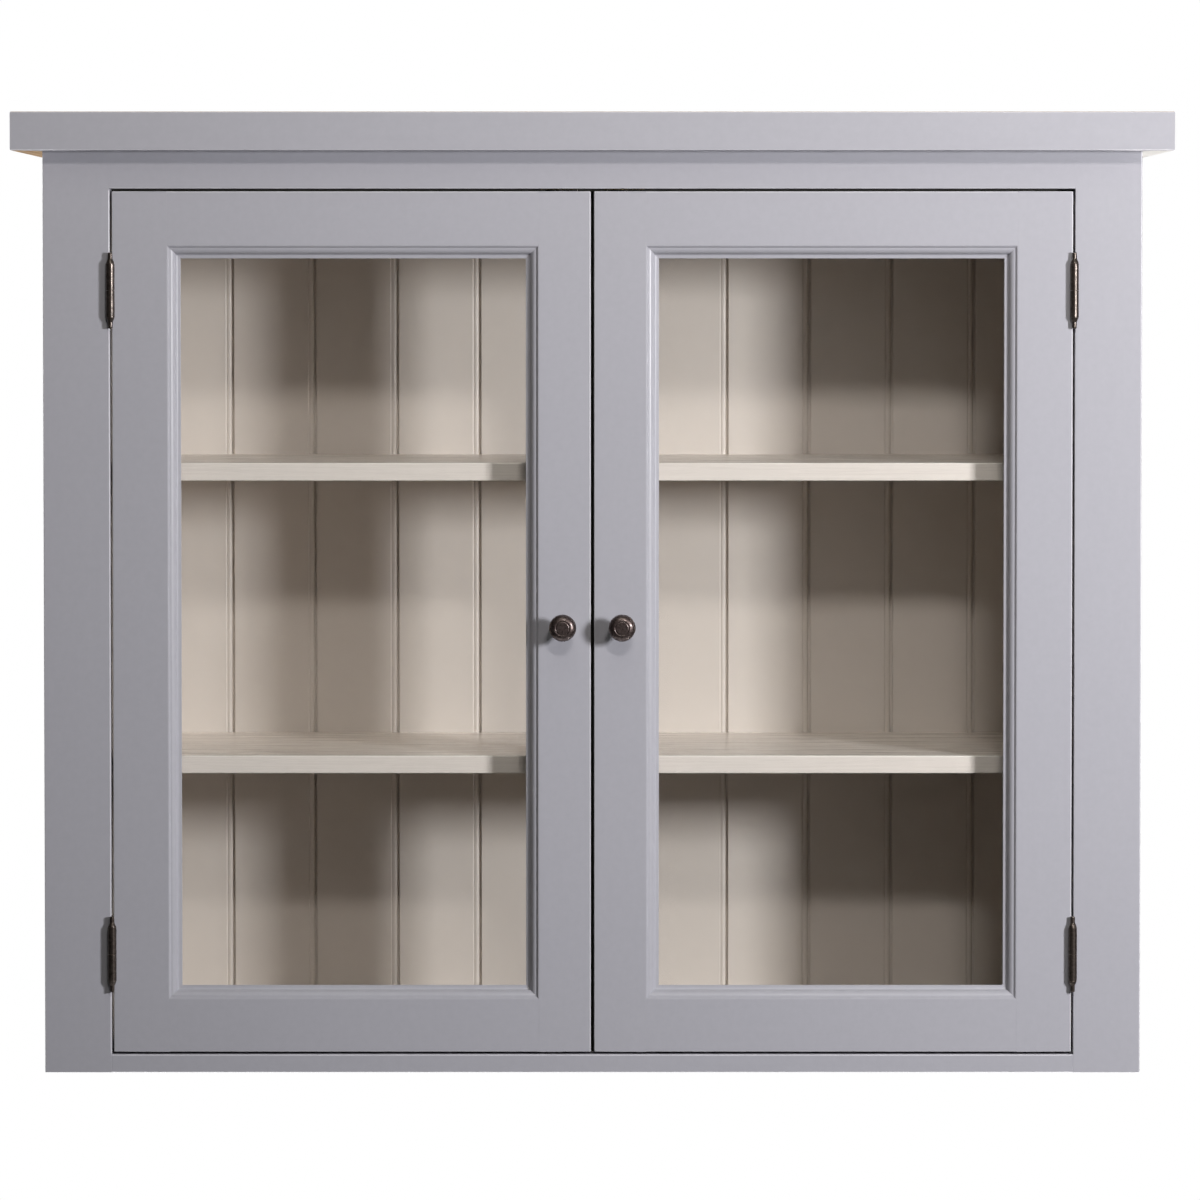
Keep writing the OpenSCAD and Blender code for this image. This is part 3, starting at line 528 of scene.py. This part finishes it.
def addPiece(name, shape, body, covers, materials, choose=None):
    mesh = bpy.data.meshes.new(name)
    faces = [face for block in shape["faces"] for face in block.tolist()]
    mesh.from_pydata(shape["points"].tolist(), [], faces)
    for material in materials:
        mesh.materials.append(material)
    mesh.polygons.foreach_set("use_smooth", np.ones(len(faces), bool))
    paint = np.broadcast_to(np.asarray(shape["paint"], np.int32), len(faces))
    mesh.polygons.foreach_set("material_index", paint.copy())
    worn = mesh.attributes.new("arris", "FLOAT", "POINT")
    worn.data.foreach_set("value", shape["arris"].astype(np.float32))
    mesh.normals_split_custom_set_from_vertices(shape["normals"].tolist())
    return placePiece(name, mesh, body, covers, choose)


# A rectangle's corners, round from the low one
def boxOutline(low, high):
    return [(low[0], low[1]), (high[0], low[1]), (high[0], high[1]), (low[0], high[1])]


# A squared length of timber between two corners. The radii go round its section from the corner that is
# lowest in both directions: for an upright X then Y, for a level one Y then Z.
def timber(low, high, direction, radii, ease=arrisLook["smallEase"], stations=None):
    order = {"upright": [0, 1, 2], "level": [1, 2, 0]}[direction]
    first, second, line = order
    outline = boxOutline((low[first], low[second]), (high[first], high[second]))
    ends = [low[line], high[line]] if stations is None else stations
    return carry(outline, radii, ends, np.eye(3)[order], ease=ease)


# A rail between two stiles, without the tenons that its node has in them
def addRail(name, node, body, tenon, radii, ease):
    low, high = nodeBox(node)
    rail = timber(low + (tenon, 0, 0), high - (tenon, 0, 0), "level", radii, ease)
    addPiece(name, rail, body, [node], [outsideLevel])


facingLimit = 0.7         # a face faces along an axis when that part of its normal is larger


# A chooser that gives the second material to the faces along an axis: one way (1 or -1), or both ways (0)
def facesAlong(axis, way):
    def choose(facing, centres):
        part = facing[:, axis] * way if way else np.abs(facing[:, axis])
        return np.where(part > facingLimit, 1, 0)

    return choose


# Face frame

frameLook = {"arris": 1.5 * mm, "outerArris": 1.2 * mm, "joint": 0.1 * mm, "openJoint": 0.32 * mm,
             "back": 0.4 * mm, "stop": 2.0 * mm, "tenon": 25 * mm, "railEdge": 0.8 * mm}


# A stile's inner arris is nearly square where a rail meets it, and rounded between the rails
def makeFrame():
    look = frameLook
    topZ = nodeBox("top_frame_rail")[0][2]
    bottomZ = nodeBox("bottom_frame_rail")[1][2]
    for side, sign in sides.items():
        low, high = nodeBox(side + "_frame_stile")
        stations = [low[2], bottomZ, bottomZ + look["stop"], topZ - look["stop"], topZ, high[2]]
        outer, inner = (0, 1) if sign < 0 else (1, 0)
        radii = np.full((len(stations), 4), look["back"])
        radii[:, outer] = look["outerArris"]
        radii[:, inner] = [look["openJoint"]] * 2 + [look["arris"]] * 2 + [look["joint"]] * 2
        stile = timber(low, high, "upright", radii, look["joint"], stations)
        addPiece(side + "FrameStile", stile, "carcass", [side + "_frame_stile"],
                 [outsideUpright])
    for part, lowEdge, highEdge, joint in (("top", "arris", "joint", "joint"),
                                           ("bottom", "railEdge", "arris", "openJoint")):
        radii = (look[lowEdge], look["back"], look["back"], look[highEdge])
        addRail(part + "FrameRail", part + "_frame_rail", "carcass", look["tenon"], radii, look[joint])


makeFrame()
print("face frame made")

# Cornice

corniceLook = {"arris": 1.2 * mm, "hidden": 0.4 * mm, "mitreEase": 0.03 * mm, "endEase": 0.3 * mm}


def makeCornice():
    look = corniceLook
    low, high = nodeBox("cornice_front")
    depth = high[1] - low[1]
    height = high[2] - low[2]
    radii = (look["arris"], look["hidden"], look["hidden"], look["arris"])
    front = carry(boxOutline((0, 0), (depth, height)), radii, [low[0], high[0]], (yAxis, zAxis, xAxis),
                  origin=(0, low[1], low[2]), ease=look["mitreEase"], slopes=((1, 0), (-1, 0)))
    addPiece("corniceFront", front, "carcass", ["cornice_front"], [outsideLevel, pineLevel],
             facesAlong(2, 1))
    for side, sign in sides.items():
        low, high = nodeBox("cornice_" + side)
        start = low if sign < 0 else (high[0], low[1], high[2])
        radii = (look["arris"], look["arris"], look["hidden"], look["hidden"])
        board = carry(boxOutline((0, 0), (height, depth)), radii, [low[1], high[1]],
                      (-sign * zAxis, -sign * xAxis, yAxis), origin=(start[0], 0, start[2]),
                      ease=look["endEase"], slopes=((0, 1), (0, 0)))
        # The right cornice's underside is painted near-white as painted light from below; the left one is
        # bare pine
        under = pineDeep if sign < 0 else paleUndersidePaintedLightDeep
        addPiece("cornice" + side.title(), board, "carcass", ["cornice_" + side],
                 [outsideDeep, under], facesAlong(2, 0))


makeCornice()
print("cornice made")

# Carcass

panelLook = {"shelfArris": 1.2 * mm, "rebate": 10 * mm, "boards": 12 * mm, "inner": 0.2 * mm, "inward": 0.5}


# A side panel is lavender outside, stone inside, and bare on its top and back edges
def sideTones(sign):
    def choose(facing, centres):
        inward = np.where(facing[:, 0] * sign < -panelLook["inward"], 1, 0)
        return np.where((facing[:, 2] > facingLimit) | (facing[:, 1] > facingLimit), 2, inward)

    return choose


def makeCarcass():
    look = panelLook
    for side, sign in sides.items():
        low, high = nodeBox(side + "_side_panel")
        outer, inner = (low[0], high[0]) if sign < 0 else (high[0], low[0])
        notch = inner + sign * look["rebate"]
        backY = high[1] - look["boards"]
        outline = [(outer, low[1]), (inner, low[1]), (inner, backY), (notch, backY), (notch, high[1]),
                   (outer, high[1])]
        if sign > 0:
            outline = outline[::-1]
        panel = carry(outline, look["inner"], [low[2], high[2]], (xAxis, yAxis, zAxis), ease=look["inner"])
        addPiece(side + "SidePanel", panel, "carcass", [side + "_side_panel"],
                 [outsideUpright, insideUpright, pineUpright], sideTones(sign))
    for name, way, outside in (("top", 1, pineLevel), ("bottom", -1, outsideLevel)):
        panel = timber(*nodeBox(name + "_panel"), "level", look["inner"])
        addPiece(name + "Panel", panel, "carcass", [name + "_panel"], [insideLevel, outside],
                 facesAlong(2, way))
    for name in ("lower", "upper"):
        radii = (look["shelfArris"], look["inner"], look["inner"], look["shelfArris"])
        shelf = timber(*nodeBox(name + "_shelf"), "level", radii)
        addPiece(name + "Shelf", shelf, "carcass", [name + "_shelf"], [shelfPaintedLightLevel])


makeCarcass()
print("carcass made")

stopLook = {"lap": 10 * mm, "arris": 1.0 * mm, "end": 0.1 * mm}


# The strips that the doors shut against, and the post behind the gap between them, both with near-black
# fronts: painted shade that makes the gaps between the doors read black
def makeStops():
    look = stopLook
    low, high = nodeBox("door_stops")
    postLow, postHigh = nodeBox("centre_post")
    doorLow, doorHigh = nodeBox("left_door_outer_stile")
    rows = ((doorHigh[2] - look["lap"], high[2]), (low[2], doorLow[2] + look["lap"]))
    columns = ((low[0], postLow[0]), (postHigh[0], high[0]))
    strips = [timber((x[0], low[1], z[0]), (x[1], high[1], z[1]), "level", look["arris"], look["end"])
              for z in rows for x in columns]
    addPiece("doorStops", joinShapes(strips), "carcass", ["door_stops"],
             [insideLevel, gapShadeLevel], facesAlong(1, -1))
    post = timber(postLow, postHigh, "upright", look["arris"], look["end"])
    addPiece("centrePost", post, "carcass", ["centre_post"], [insideUpright, gapShadeUpright],
             facesAlong(1, -1))


makeStops()

# Doors

doorLook = {"arris": 1.3 * mm, "mouldSide": 0.15 * mm, "back": 0.8 * mm, "joint": 0.08 * mm,
            "tenon": 14 * mm}
mouldLook = {"width": 13 * mm, "depth": 11.5 * mm, "lip": 0.06 * mm, "strip": (0.7 * mm, 0.2 * mm),
             "chamferEnd": (2.6 * mm, 2.4 * mm), "round": 7.5 * mm, "roundTurn": (2.0, 50.0),
             "roundStretch": 1.5, "drop": (0.3 * mm, 1.9 * mm), "cove": 3.0 * mm, "coveTurn": (4.0, 52.0),
             "coveStretch": 1.2, "arcPoints": 10, "shoreFall": 0.3 * mm, "arris": 0.4 * mm,
             "mitre": 0.05 * mm, "corner": 0.08 * mm}
rearLook = {"width": 11 * mm, "lip": 1.0 * mm, "arcPoints": 10, "mitre": 0.05 * mm, "corner": 0.08 * mm}


# Section of the glazing moulding, across from the door's edge and back from its face: a narrow strip, a
# chamfer, a round that steepens, a short drop, a cove that eases off, and a flat shore beside the glass.
# The round and the cove are (radius * sin, -radius * stretch * cos) of an evenly growing angle.
def mouldOutline(look):
    def arc(radius, turn, stretch):
        angles = np.radians(np.linspace(*turn, look["arcPoints"]))
        curve = np.stack([np.sin(angles), -stretch * np.cos(angles)], 1) * radius
        return curve - curve[0]

    strip = [(0, look["depth"]), (0, look["lip"]), look["strip"]]
    swell = arc(look["round"], look["roundTurn"], look["roundStretch"]) + look["chamferEnd"]
    easing = arc(look["cove"], look["coveTurn"], look["coveStretch"])[::-1]
    hollow = swell[-1] + look["drop"] + easing[0] - easing
    low = hollow[-1][1] + look["shoreFall"]
    shore = [(look["width"] - look["arris"], low), (look["width"], low + look["arris"]),
             (look["width"], look["depth"])]
    return np.concatenate([strip, swell, hollow, shore])


# Section of the bead behind the glass: square towards the glass, and towards the room behind a quarter circle
# (width - radius * (1 - cos), lip + radius * sin)
def rearOutline(look, thick):
    radius = thick - look["lip"]
    quarter = np.radians(np.linspace(0, 90, look["arcPoints"]))
    across = look["width"] - radius * (1 - np.cos(quarter))
    curve = np.stack([across, look["lip"] + radius * np.sin(quarter)], 1)
    return np.concatenate([[(0, thick), (0, 0), (look["width"], 0)], curve])


# Four mitred lengths round a pane, each with its outline's first axis towards the middle of the pane
def paneRing(outline, node, y, look):
    low, high = (corner[[0, 2]] for corner in nodeBox(node))
    gap = look["mitre"]
    lengths = [("level", -xAxis, zAxis, (high[0], y, low[1]), high[0] - low[0]),
               ("level", xAxis, -zAxis, (low[0], y, high[1]), high[0] - low[0]),
               ("upright", zAxis, xAxis, (low[0], y, low[1]), high[1] - low[1]),
               ("upright", -zAxis, -xAxis, (high[0], y, high[1]), high[1] - low[1])]
    shapes = []
    for direction, line, inward, origin, length in lengths:
        shape = carry(outline, look["corner"], [gap, length - gap], (inward, yAxis, line), origin, ease=0,
                      slopes=((1, 0), (-1, 0)), steps=2)
        shapes.append({**shape, "paint": 0 if direction == "upright" else 1})
    return joinShapes(shapes)


def makeDoor(side, sign):
    look = doorLook
    body = side + "_door"
    for part, outward in (("outer", sign), ("meeting", -sign)):
        edge, inside = (0, 1) if outward < 0 else (1, 0)
        radii = np.full(4, look["back"])
        radii[edge] = look["arris"]
        radii[inside] = look["mouldSide"]
        stile = timber(*nodeBox(body + "_" + part + "_stile"), "upright", radii, radii)
        addPiece(side + "Door" + part.title() + "Stile", stile, body,
                 [body + "_" + part + "_stile"], [outsideUpright])
    for part, lowEdge, highEdge in (("top", "mouldSide", "arris"), ("bottom", "arris", "mouldSide")):
        radii = (look[lowEdge], look["back"], look["back"], look[highEdge])
        node = body + "_" + part + "_rail"
        addRail(side + "Door" + part.title() + "Rail", node, body, look["tenon"], radii, look["joint"])
    faceY = nodeBox(body + "_outer_stile")[0][1]
    rearLow, rearHigh = nodeBox(body + "_rear_beads")
    rear = rearOutline(rearLook, rearHigh[1] - rearLow[1])
    for name, node, outline, y, ringLook in (
            ("Moulding", "_moulding", mouldOutline(mouldLook), faceY, mouldLook),
            ("RearBeads", "_rear_beads", rear, rearLow[1], rearLook)):
        addPiece(side + "Door" + name, paneRing(outline, body + node, y, ringLook), body,
                 [body + node], [outsideUpright, outsideLevel])


for side, sign in sides.items():
    makeDoor(side, sign)
print("doors made")

# Knobs. The foot, flare and groove are turned profiles: radius, then height. The foot and the flare are in
# millimetres, and the groove is in ring widths from the disc's edge and the crown.

knobLook = {"radius": 13.6 * mm, "out": 32 * mm, "neck": 5 * mm, "neckGap": 4 * mm, "disc": 6.8 * mm,
            "ring": 0.6 * mm, "bun": (-68, 84, 48), "count": 96, "step": 0.22 * mm,
            "foot": ((0.4, 0), (7.5, 0), (8, 0.5), (8, 1.3), (7.1, 2.5), (5.8, 3), (5, 4.9)),
            "flare": ((0, 0), (0.4, 1.6), (1.4, 3.2)),
            "groove": ((0.4, -0.7), (0, -1), (-0.4, -0.7), (-1, -0.15), (-1.6, 0)),
            "hammer": 0.14 * mm, "waves": 24, "waveLength": 8 * mm, "seed": {"left": 11, "right": 12}}


# Outline of the knob from the door outwards: foot, neck, a round shoulder
# (disc + shoulder * cos, middle + shoulder * sin), and a flat disc inside a turned ring
def knobProfile(look):
    shoulder = look["radius"] - look["disc"]
    middle = look["out"] - shoulder
    neckEnd = middle - shoulder - look["neckGap"]
    foot = np.array(look["foot"]) * mm
    flare = np.array(look["flare"]) * mm + (look["neck"], neckEnd)
    turn = np.radians(np.linspace(*look["bun"]))
    bun = np.stack([look["disc"] + shoulder * np.cos(turn), middle + shoulder * np.sin(turn)], 1)
    groove = np.array(look["groove"]) * look["ring"] + (look["disc"], look["out"])
    return np.concatenate([foot, flare, bun, groove, [(axisGap, look["out"])]])


# The hammered face sinks by hammer * (1 + dents) / 2, where dents is a sum of sine waves that run at random
def makeKnob(side):
    look = knobLook
    low, high = nodeBox(side + "_door_knob")
    centre = (low + high) / 2
    profile = refine(knobProfile(look), look["step"])
    shape = turned(profile, profileNormals(profile), look["count"], (xAxis, zAxis, -yAxis),
                   (centre[0], high[1], centre[2]))
    random = np.random.default_rng(look["seed"][side])
    waves = random.normal(0, 1, (look["waves"], 3)) * 2 * math.pi / look["waveLength"]
    phase = random.uniform(0, 2 * math.pi, look["waves"])
    dents = np.sin(shape["points"] @ waves.T + phase).sum(1) / math.sqrt(look["waves"])
    sunk = look["hammer"] * (1 + np.clip(dents, -1, 1)) / 2
    shape["points"] = shape["points"] - shape["normals"] * sunk[:, None]
    addPiece(side + "Knob", shape, side + "_door", [side + "_door_knob"], [agedPewter])


for side in sides:
    makeKnob(side)
print("knobs made")

# Hinges. The finial and the rod are turned profiles in millimetres: radius, then height.

hingeLook = {"leaf": 54 * mm, "radius": 4.35 * mm, "bore": 2.56 * mm, "split": 0.2 * mm, "plug": 4 * mm,
             "plugRadius": 2.4 * mm, "finialGap": 0.05 * mm, "leafThick": 1.5 * mm, "leafGap": 0.2 * mm,
             "leafDepth": 18 * mm, "webStart": 3.4 * mm, "webEnd": 1.2 * mm, "webArris": 0.1 * mm,
             "screw": 1.65 * mm, "head": 3.05 * mm, "sink": 1.3 * mm, "pitch": 19 * mm,
             "shoulder": 0.35 * mm, "boreArris": 0.05 * mm, "count": 48, "rodCount": 32,
             "finialStep": 0.18 * mm, "rodStep": 0.4 * mm,
             "finial": ((2.4, 0), (3.95, 0), (4.05, 0.3), (3.9, 0.9), (3.2, 2.64), (2.5, 4.07), (2.3, 4.62),
                        (2.3, 9.9), (2, 10.67), (1.5, 11), (0.1, 11)),
             "rod": ((0.1, 0), (2.5, 0), (2.5, 48), (2.1, 48.8), (0.1, 49)),
             "barrelWear": 3, "outward": 0.1, "tipWear": (0.5, 1.5)}


# A plate with countersunk holes. Round each hole, rings of points at the same angles go from the plate's
# back edge to its front edge, the countersink, the bore and the bore's end, and the grid closes at the back.
def holedPlate(look, corner, xSign):
    deep, thick, tall = look["leafDepth"], look["leafThick"], look["leaf"]
    count, pitch = look["count"], look["pitch"]
    edges = [-tall / 2, -pitch / 2, pitch / 2, tall / 2]
    angle = np.linspace(0, 2 * math.pi, count, endpoint=False) + math.pi / count
    way = np.stack([np.cos(angle), np.sin(angle)], 1)
    shapes = []
    for index, middle in enumerate((-pitch, 0, pitch)):
        upDown = np.where(way[:, 1] > 0, edges[index + 1] - middle, middle - edges[index])
        reach = np.stack([deep / 2 / np.abs(way[:, 0]), upDown / np.abs(way[:, 1])], 1).min(1)
        outer = way * reach[:, None]
        rings = [(outer, thick), (outer, 0), (way * look["head"], 0), (way * look["screw"], look["sink"]),
                 (way * look["screw"], thick)]
        points = np.stack([np.column_stack([np.full(count, down), flat[:, 0] + deep / 2, flat[:, 1] + middle])
                           for flat, down in rings]) * (xSign, 1, 1) + corner
        quads = gridFaces(len(rings), count, True)[0]
        shapes.append(flatShape(points.reshape(-1, 3), quads[:, ::-1] if xSign < 0 else quads))
    return shapes


# Half a knuckle: the rectangle from bore to radius, turned about the pin. Its rounded arrises are rubbed.
def knuckle(look, axis, low, tall):
    inner, outer, edge = look["bore"], look["radius"], look["shoulder"]
    corners = [(inner, 0), (outer, 0), (outer, tall), (inner, tall)]
    points, normals, arris = roundCorners(corners, [look["boreArris"], edge, edge, look["boreArris"]])
    worn = np.where(normals[:, 0] > look["outward"], arris[0] * look["barrelWear"], 0).clip(0, 1)
    return turned(points[0], normals, look["count"], (xAxis, yAxis, zAxis), (*axis, low), True, worn)


# A tapered shoulder and a plain round-ended pin, from the knuckle's end outwards, with a plug of depth sink
def finial(look, axis, height, up, sink):
    plug = [(axisGap, -sink), (look["plugRadius"], -sink)]
    profile = refine(np.concatenate([plug, np.array(look["finial"]) * mm]), look["finialStep"])
    axes = (xAxis, yAxis, zAxis) if up > 0 else (yAxis, xAxis, -zAxis)
    normals = profileNormals(profile)
    least, gain = look["tipWear"]
    worn = np.clip((normals[:, 1] - least) * gain, 0, 1)
    return turned(profile, normals, look["count"], axes, (*axis, height), False, worn)


# One leaf: its plate, half a knuckle from start upwards, and the web between the two
def leafShapes(look, axis, faceY, z, leafSide, start):
    half = look["leaf"] / 2 - look["split"] / 2
    face = axis[0] + leafSide * look["leafGap"] / 2
    back = face + leafSide * look["leafThick"]
    webLow = (min(face, back), axis[1] + look["webStart"], start)
    webHigh = (max(face, back), faceY + look["webEnd"], start + half)
    return [*holedPlate(look, (face, faceY, z), leafSide), knuckle(look, axis, start, half),
            timber(webLow, webHigh, "upright", look["webArris"])]


def makeHinges():
    look = hingeLook
    low, high = nodeBox("frame_hinge_leaves")
    heights = (low[2] + look["leaf"] / 2, high[2] - look["leaf"] / 2)
    faceY = nodeBox("left_frame_stile")[0][1]
    rod = refine(np.array(look["rod"]) * mm, look["rodStep"])
    frameShapes = []
    pinShapes = []
    for joint, (side, sign) in zip(frame["joints"], sides.items()):
        axis = tuple(joint["pos_m"][:2])
        doorShapes = []
        for z in heights:
            bottom = z - look["leaf"] / 2
            frameShapes += leafShapes(look, axis, faceY, z, sign, bottom)
            doorShapes += leafShapes(look, axis, faceY, z, -sign, z + look["split"] / 2)
            doorShapes.append(finial(look, axis, z + look["leaf"] / 2 + look["finialGap"], 1, look["plug"]))
            pinShapes.append(finial(look, axis, bottom, -1, 0))
            pinShapes.append(turned(rod, profileNormals(rod), look["rodCount"], (xAxis, yAxis, zAxis),
                                    (*axis, bottom)))
        addPiece(side + "DoorHingeLeaves", joinShapes(doorShapes), side + "_door",
                 [side + "_door_hinge_leaves"], [agedBronze])
    addPiece("frameHingeLeaves", joinShapes(frameShapes), "carcass", ["frame_hinge_leaves"],
             [agedBronze])
    addPiece("hingePins", joinShapes(pinShapes), "carcass", ["hinge_pins"], [agedBronze])


makeHinges()
print("hinges made")

# Nodes whose own shape is right: a merged copy with smooth curves and crisp edges

copyLook = {"merge": 0.002 * mm, "flat": 0.5, "sharp": 28}      # the angles are in degrees


def cleanCopy(node, name, body, materials, choose=None):
    mesh = nodes[node].data.copy()
    mesh.name = name
    mesh.materials.clear()
    for material in materials:
        mesh.materials.append(material)
    work = bmesh.new()
    work.from_mesh(mesh)
    bmesh.ops.remove_doubles(work, verts=work.verts, dist=copyLook["merge"])
    bmesh.ops.dissolve_limit(work, angle_limit=math.radians(copyLook["flat"]), verts=work.verts,
                             edges=work.edges)
    work.to_mesh(mesh)
    work.free()
    if mesh.attributes.get("custom_normal"):
        mesh.attributes.remove(mesh.attributes["custom_normal"])
    mesh.polygons.foreach_set("use_smooth", np.ones(len(mesh.polygons), bool))
    mesh.set_sharp_from_angle(angle=math.radians(copyLook["sharp"]))
    return placePiece(name, mesh, body, [node], choose)


boardLook = {"left": 6, "right": 7, "arris": 0.5 * mm, "railArris": 0.8 * mm, "edgeAngle": 42,
             "segments": 2, "backPlane": -0.5 * mm}


# A narrow rounding on the edges that turn by more than the edge angle
def easeEdges(piece, width):
    rounding = piece.modifiers.new("easedEdges", "BEVEL")
    rounding.width = width
    rounding.segments = boardLook["segments"]
    rounding.limit_method = "ANGLE"
    rounding.angle_limit = math.radians(boardLook["edgeAngle"])


# A board is bare on its rear face, which lies on the wall, and on its top end
def backBare(facing, centres):
    rear = (facing[:, 1] > facingLimit) & (centres[:, 1] > boardLook["backPlane"])
    return np.where(rear | (facing[:, 2] > facingLimit), 1, 0)


def makeBack():
    look = boardLook
    for side in sides:
        for index in range(1, look[side] + 1):
            board = cleanCopy("%s_back_board_%d" % (side, index), "%sBackBoard%d" % (side, index), "carcass",
                              [insideUpright, pineUpright], backBare)
            easeEdges(board, look["arris"])
    for node, name in (("hanging_rail", "hangingRail"), ("lower_batten", "lowerBatten")):
        easeEdges(cleanCopy(node, name, "carcass", [insideLevel]), look["railArris"])


def makeSmallParts():
    cleanCopy("frame_fasteners", "frameFasteners", "carcass", [brightSteel])
    cleanCopy("catch_strikes", "catchStrikes", "carcass", [plainBrass])
    for side in sides:
        door = side + "_door"
        cleanCopy(door + "_fasteners", side + "DoorFasteners", door, [brightSteel])
        cleanCopy(side + "_catch_plate", side + "CatchPlate", door, [plainBrass])
        ball = side + "_catch_ball"
        cleanCopy(ball, side + "CatchBall", ball, [brightSteel])
        for node, material in ((door + "_glass", paneGlass), (side + "_catch_spring", brightSteel)):
            for place in nodes[node].material_slots:
                place.material = material


makeBack()
makeSmallParts()
print("back boards, catches and glass made")

# Stage, light and camera

stageLook = {"floor": -1.4, "radius": 3.2, "hole": 0.05, "rings": 24, "count": 96, "rough": 0.8,
             "fade": (1.7, 3.0), "tone": (0.86, 0.86, 0.86), "bounce": (0.25, 0.25, 0.25)}
white = (1, 1, 1, 1)


# A round floor, (radius * cos, radius * sin) at one height, that fades into the white of the surroundings
def makeFloor():
    look = stageLook
    angle = np.linspace(0, 2 * math.pi, look["count"], endpoint=False)
    radius = np.linspace(look["hole"], look["radius"], look["rings"])[::-1]
    flat = radius[:, None, None] * np.stack([np.cos(angle), np.sin(angle)], 1)[None]
    points = np.concatenate([flat, np.full((*flat.shape[:2], 1), look["floor"])], 2).reshape(-1, 3)
    quads, ends = gridFaces(look["rings"], look["count"])
    mesh = bpy.data.meshes.new("studioFloor")
    mesh.from_pydata(points.tolist(), [], quads.tolist() + [ends[1].tolist()])
    material, tree, skin = newMaterial("paleFloor")
    ray = addNode(tree, "ShaderNodeLightPath").outputs
    distance = addNode(tree, "ShaderNodeVectorMath", {"operation": "LENGTH"}, Vector=placeOnObject(tree))
    edge = spread(tree, distance.outputs["Value"], *look["fade"])
    feed(tree, skin.inputs["Roughness"], look["rough"])
    tone = mixColour(tree, ray["Is Diffuse Ray"], look["tone"], look["bounce"])
    feed(tree, skin.inputs["Base Color"], tone)
    beyond = addNode(tree, "ShaderNodeEmission", Color=white, Strength=ray["Is Camera Ray"])
    setSurface(tree, mixShader(tree, edge, skin.outputs[0], beyond.outputs[0]))
    mesh.materials.append(material)
    floor = bpy.data.objects.new("studioFloor", mesh)
    bpy.context.scene.collection.objects.link(floor)


lights = {                # place, target, width, height, watts, colour
    "keySoftbox": ((1.80, -2.28, 0.89), (-0.21, -0.97, 0.19), 0.36, 0.42, 65.4, (0.998, 1.0, 1.018)),
    "fillSoftbox": ((0.50, -3.88, 2.50), (1.26, -2.07, 4.04), 0.72, 0.72, 125.5, (1.045, 1.0, 0.955)),
    "topSoftbox": ((0.0, -2.8, 3.6), (0.0, -0.3, 0.5), 2.4, 2.0, 19.9, (0.98, 1.0, 0.90)),
    "rearSoftbox": ((0.9, 3.2, 2.2), (0.0, 0.0, 0.4), 1.6, 1.6, 120.0, (1.0, 1.0, 1.0)),
    "leftSoftbox": ((-3.0, 0.9, 1.3), (-0.5, 0.0, 0.4), 1.4, 1.4, 70.0, (1.0, 1.0, 1.0)),
    "leftBounce": ((-0.9, 0.0, -0.9), (-0.57, -0.17, 0.93), 0.5, 0.5, 16.0, (1.0, 1.0, 1.0)),
    "rightBounce": ((0.9, 0.0, -0.9), (0.57, -0.17, 0.93), 0.5, 0.5, 32.0, (1.0, 0.98, 0.95)),
}


def makeLights():
    for name, (place, target, width, height, watts, colour) in lights.items():
        data = bpy.data.lights.new(name, "AREA")
        data.shape = "RECTANGLE"
        data.size = width
        data.size_y = height
        data.energy = watts
        data.color = colour
        lamp = bpy.data.objects.new(name, data)
        lamp.location = place
        lamp.rotation_euler = (Vector(target) - Vector(place)).to_track_quat("-Z", "Y").to_euler()
        lamp.visible_camera = False
        bpy.context.scene.collection.objects.link(lamp)


worldLook = {"dim": 0.005, "bright": 1.0, "bounces": 0.5}


# The surroundings are white to the camera, also straight through glass, and give almost no light themselves
def makeWorld():
    world = bpy.data.worlds.new("studioWorld")
    world.use_nodes = True
    bpy.context.scene.world = world
    tree = world.node_tree
    tree.nodes.clear()
    ray = addNode(tree, "ShaderNodeLightPath").outputs
    bounces = mathNode(tree, "ADD", ray["Diffuse Depth"], ray["Glossy Depth"])
    straight = mathNode(tree, "LESS_THAN", bounces, worldLook["bounces"])
    through = mathNode(tree, "MULTIPLY", straight, ray["Is Transmission Ray"])
    seen = mathNode(tree, "MAXIMUM", through, ray["Is Camera Ray"])
    dim, bright = [addNode(tree, "ShaderNodeBackground", Color=white, Strength=worldLook[part]).outputs[0]
                   for part in ("dim", "bright")]
    addNode(tree, "ShaderNodeOutputWorld", Surface=mixShader(tree, seen, dim, bright))


cameraLook = {"place": (0.0076, -5.425, 0.788), "faceY": -0.330, "seen": 1.1988, "centre": (0.0076, 0.4748),
              "shift": -0.13, "sensor": 36.0, "near": 0.05, "far": 60}


# The lens spans the photograph's square on the face plane. Part of the drop from the eye to the square's
# centre is taken by the shift, and the rest by tilting the camera.
def makeCamera():
    look = cameraLook
    data = bpy.data.cameras.new("photoCamera")
    camera = bpy.data.objects.new("photoCamera", data)
    distance = look["faceY"] - look["place"][1]
    data.sensor_width = look["sensor"]
    data.lens = look["sensor"] * distance / look["seen"]
    data.shift_y = look["shift"]
    data.clip_start = look["near"]
    data.clip_end = look["far"]
    drop = look["place"][2] - look["centre"][1] + look["shift"] * look["seen"]
    tilt = math.atan2(drop, distance)
    turn = math.atan2(look["centre"][0] - look["place"][0], distance)
    camera.location = look["place"]
    camera.rotation_euler = (math.pi / 2 - tilt, 0, -turn)
    bpy.context.scene.collection.objects.link(camera)
    bpy.context.scene.camera = camera


makeFloor()
makeLights()
makeWorld()
makeCamera()
bpy.context.scene.view_settings.view_transform = "Standard"
bpy.context.scene.view_settings.look = "None"
print("stage, light and camera made")
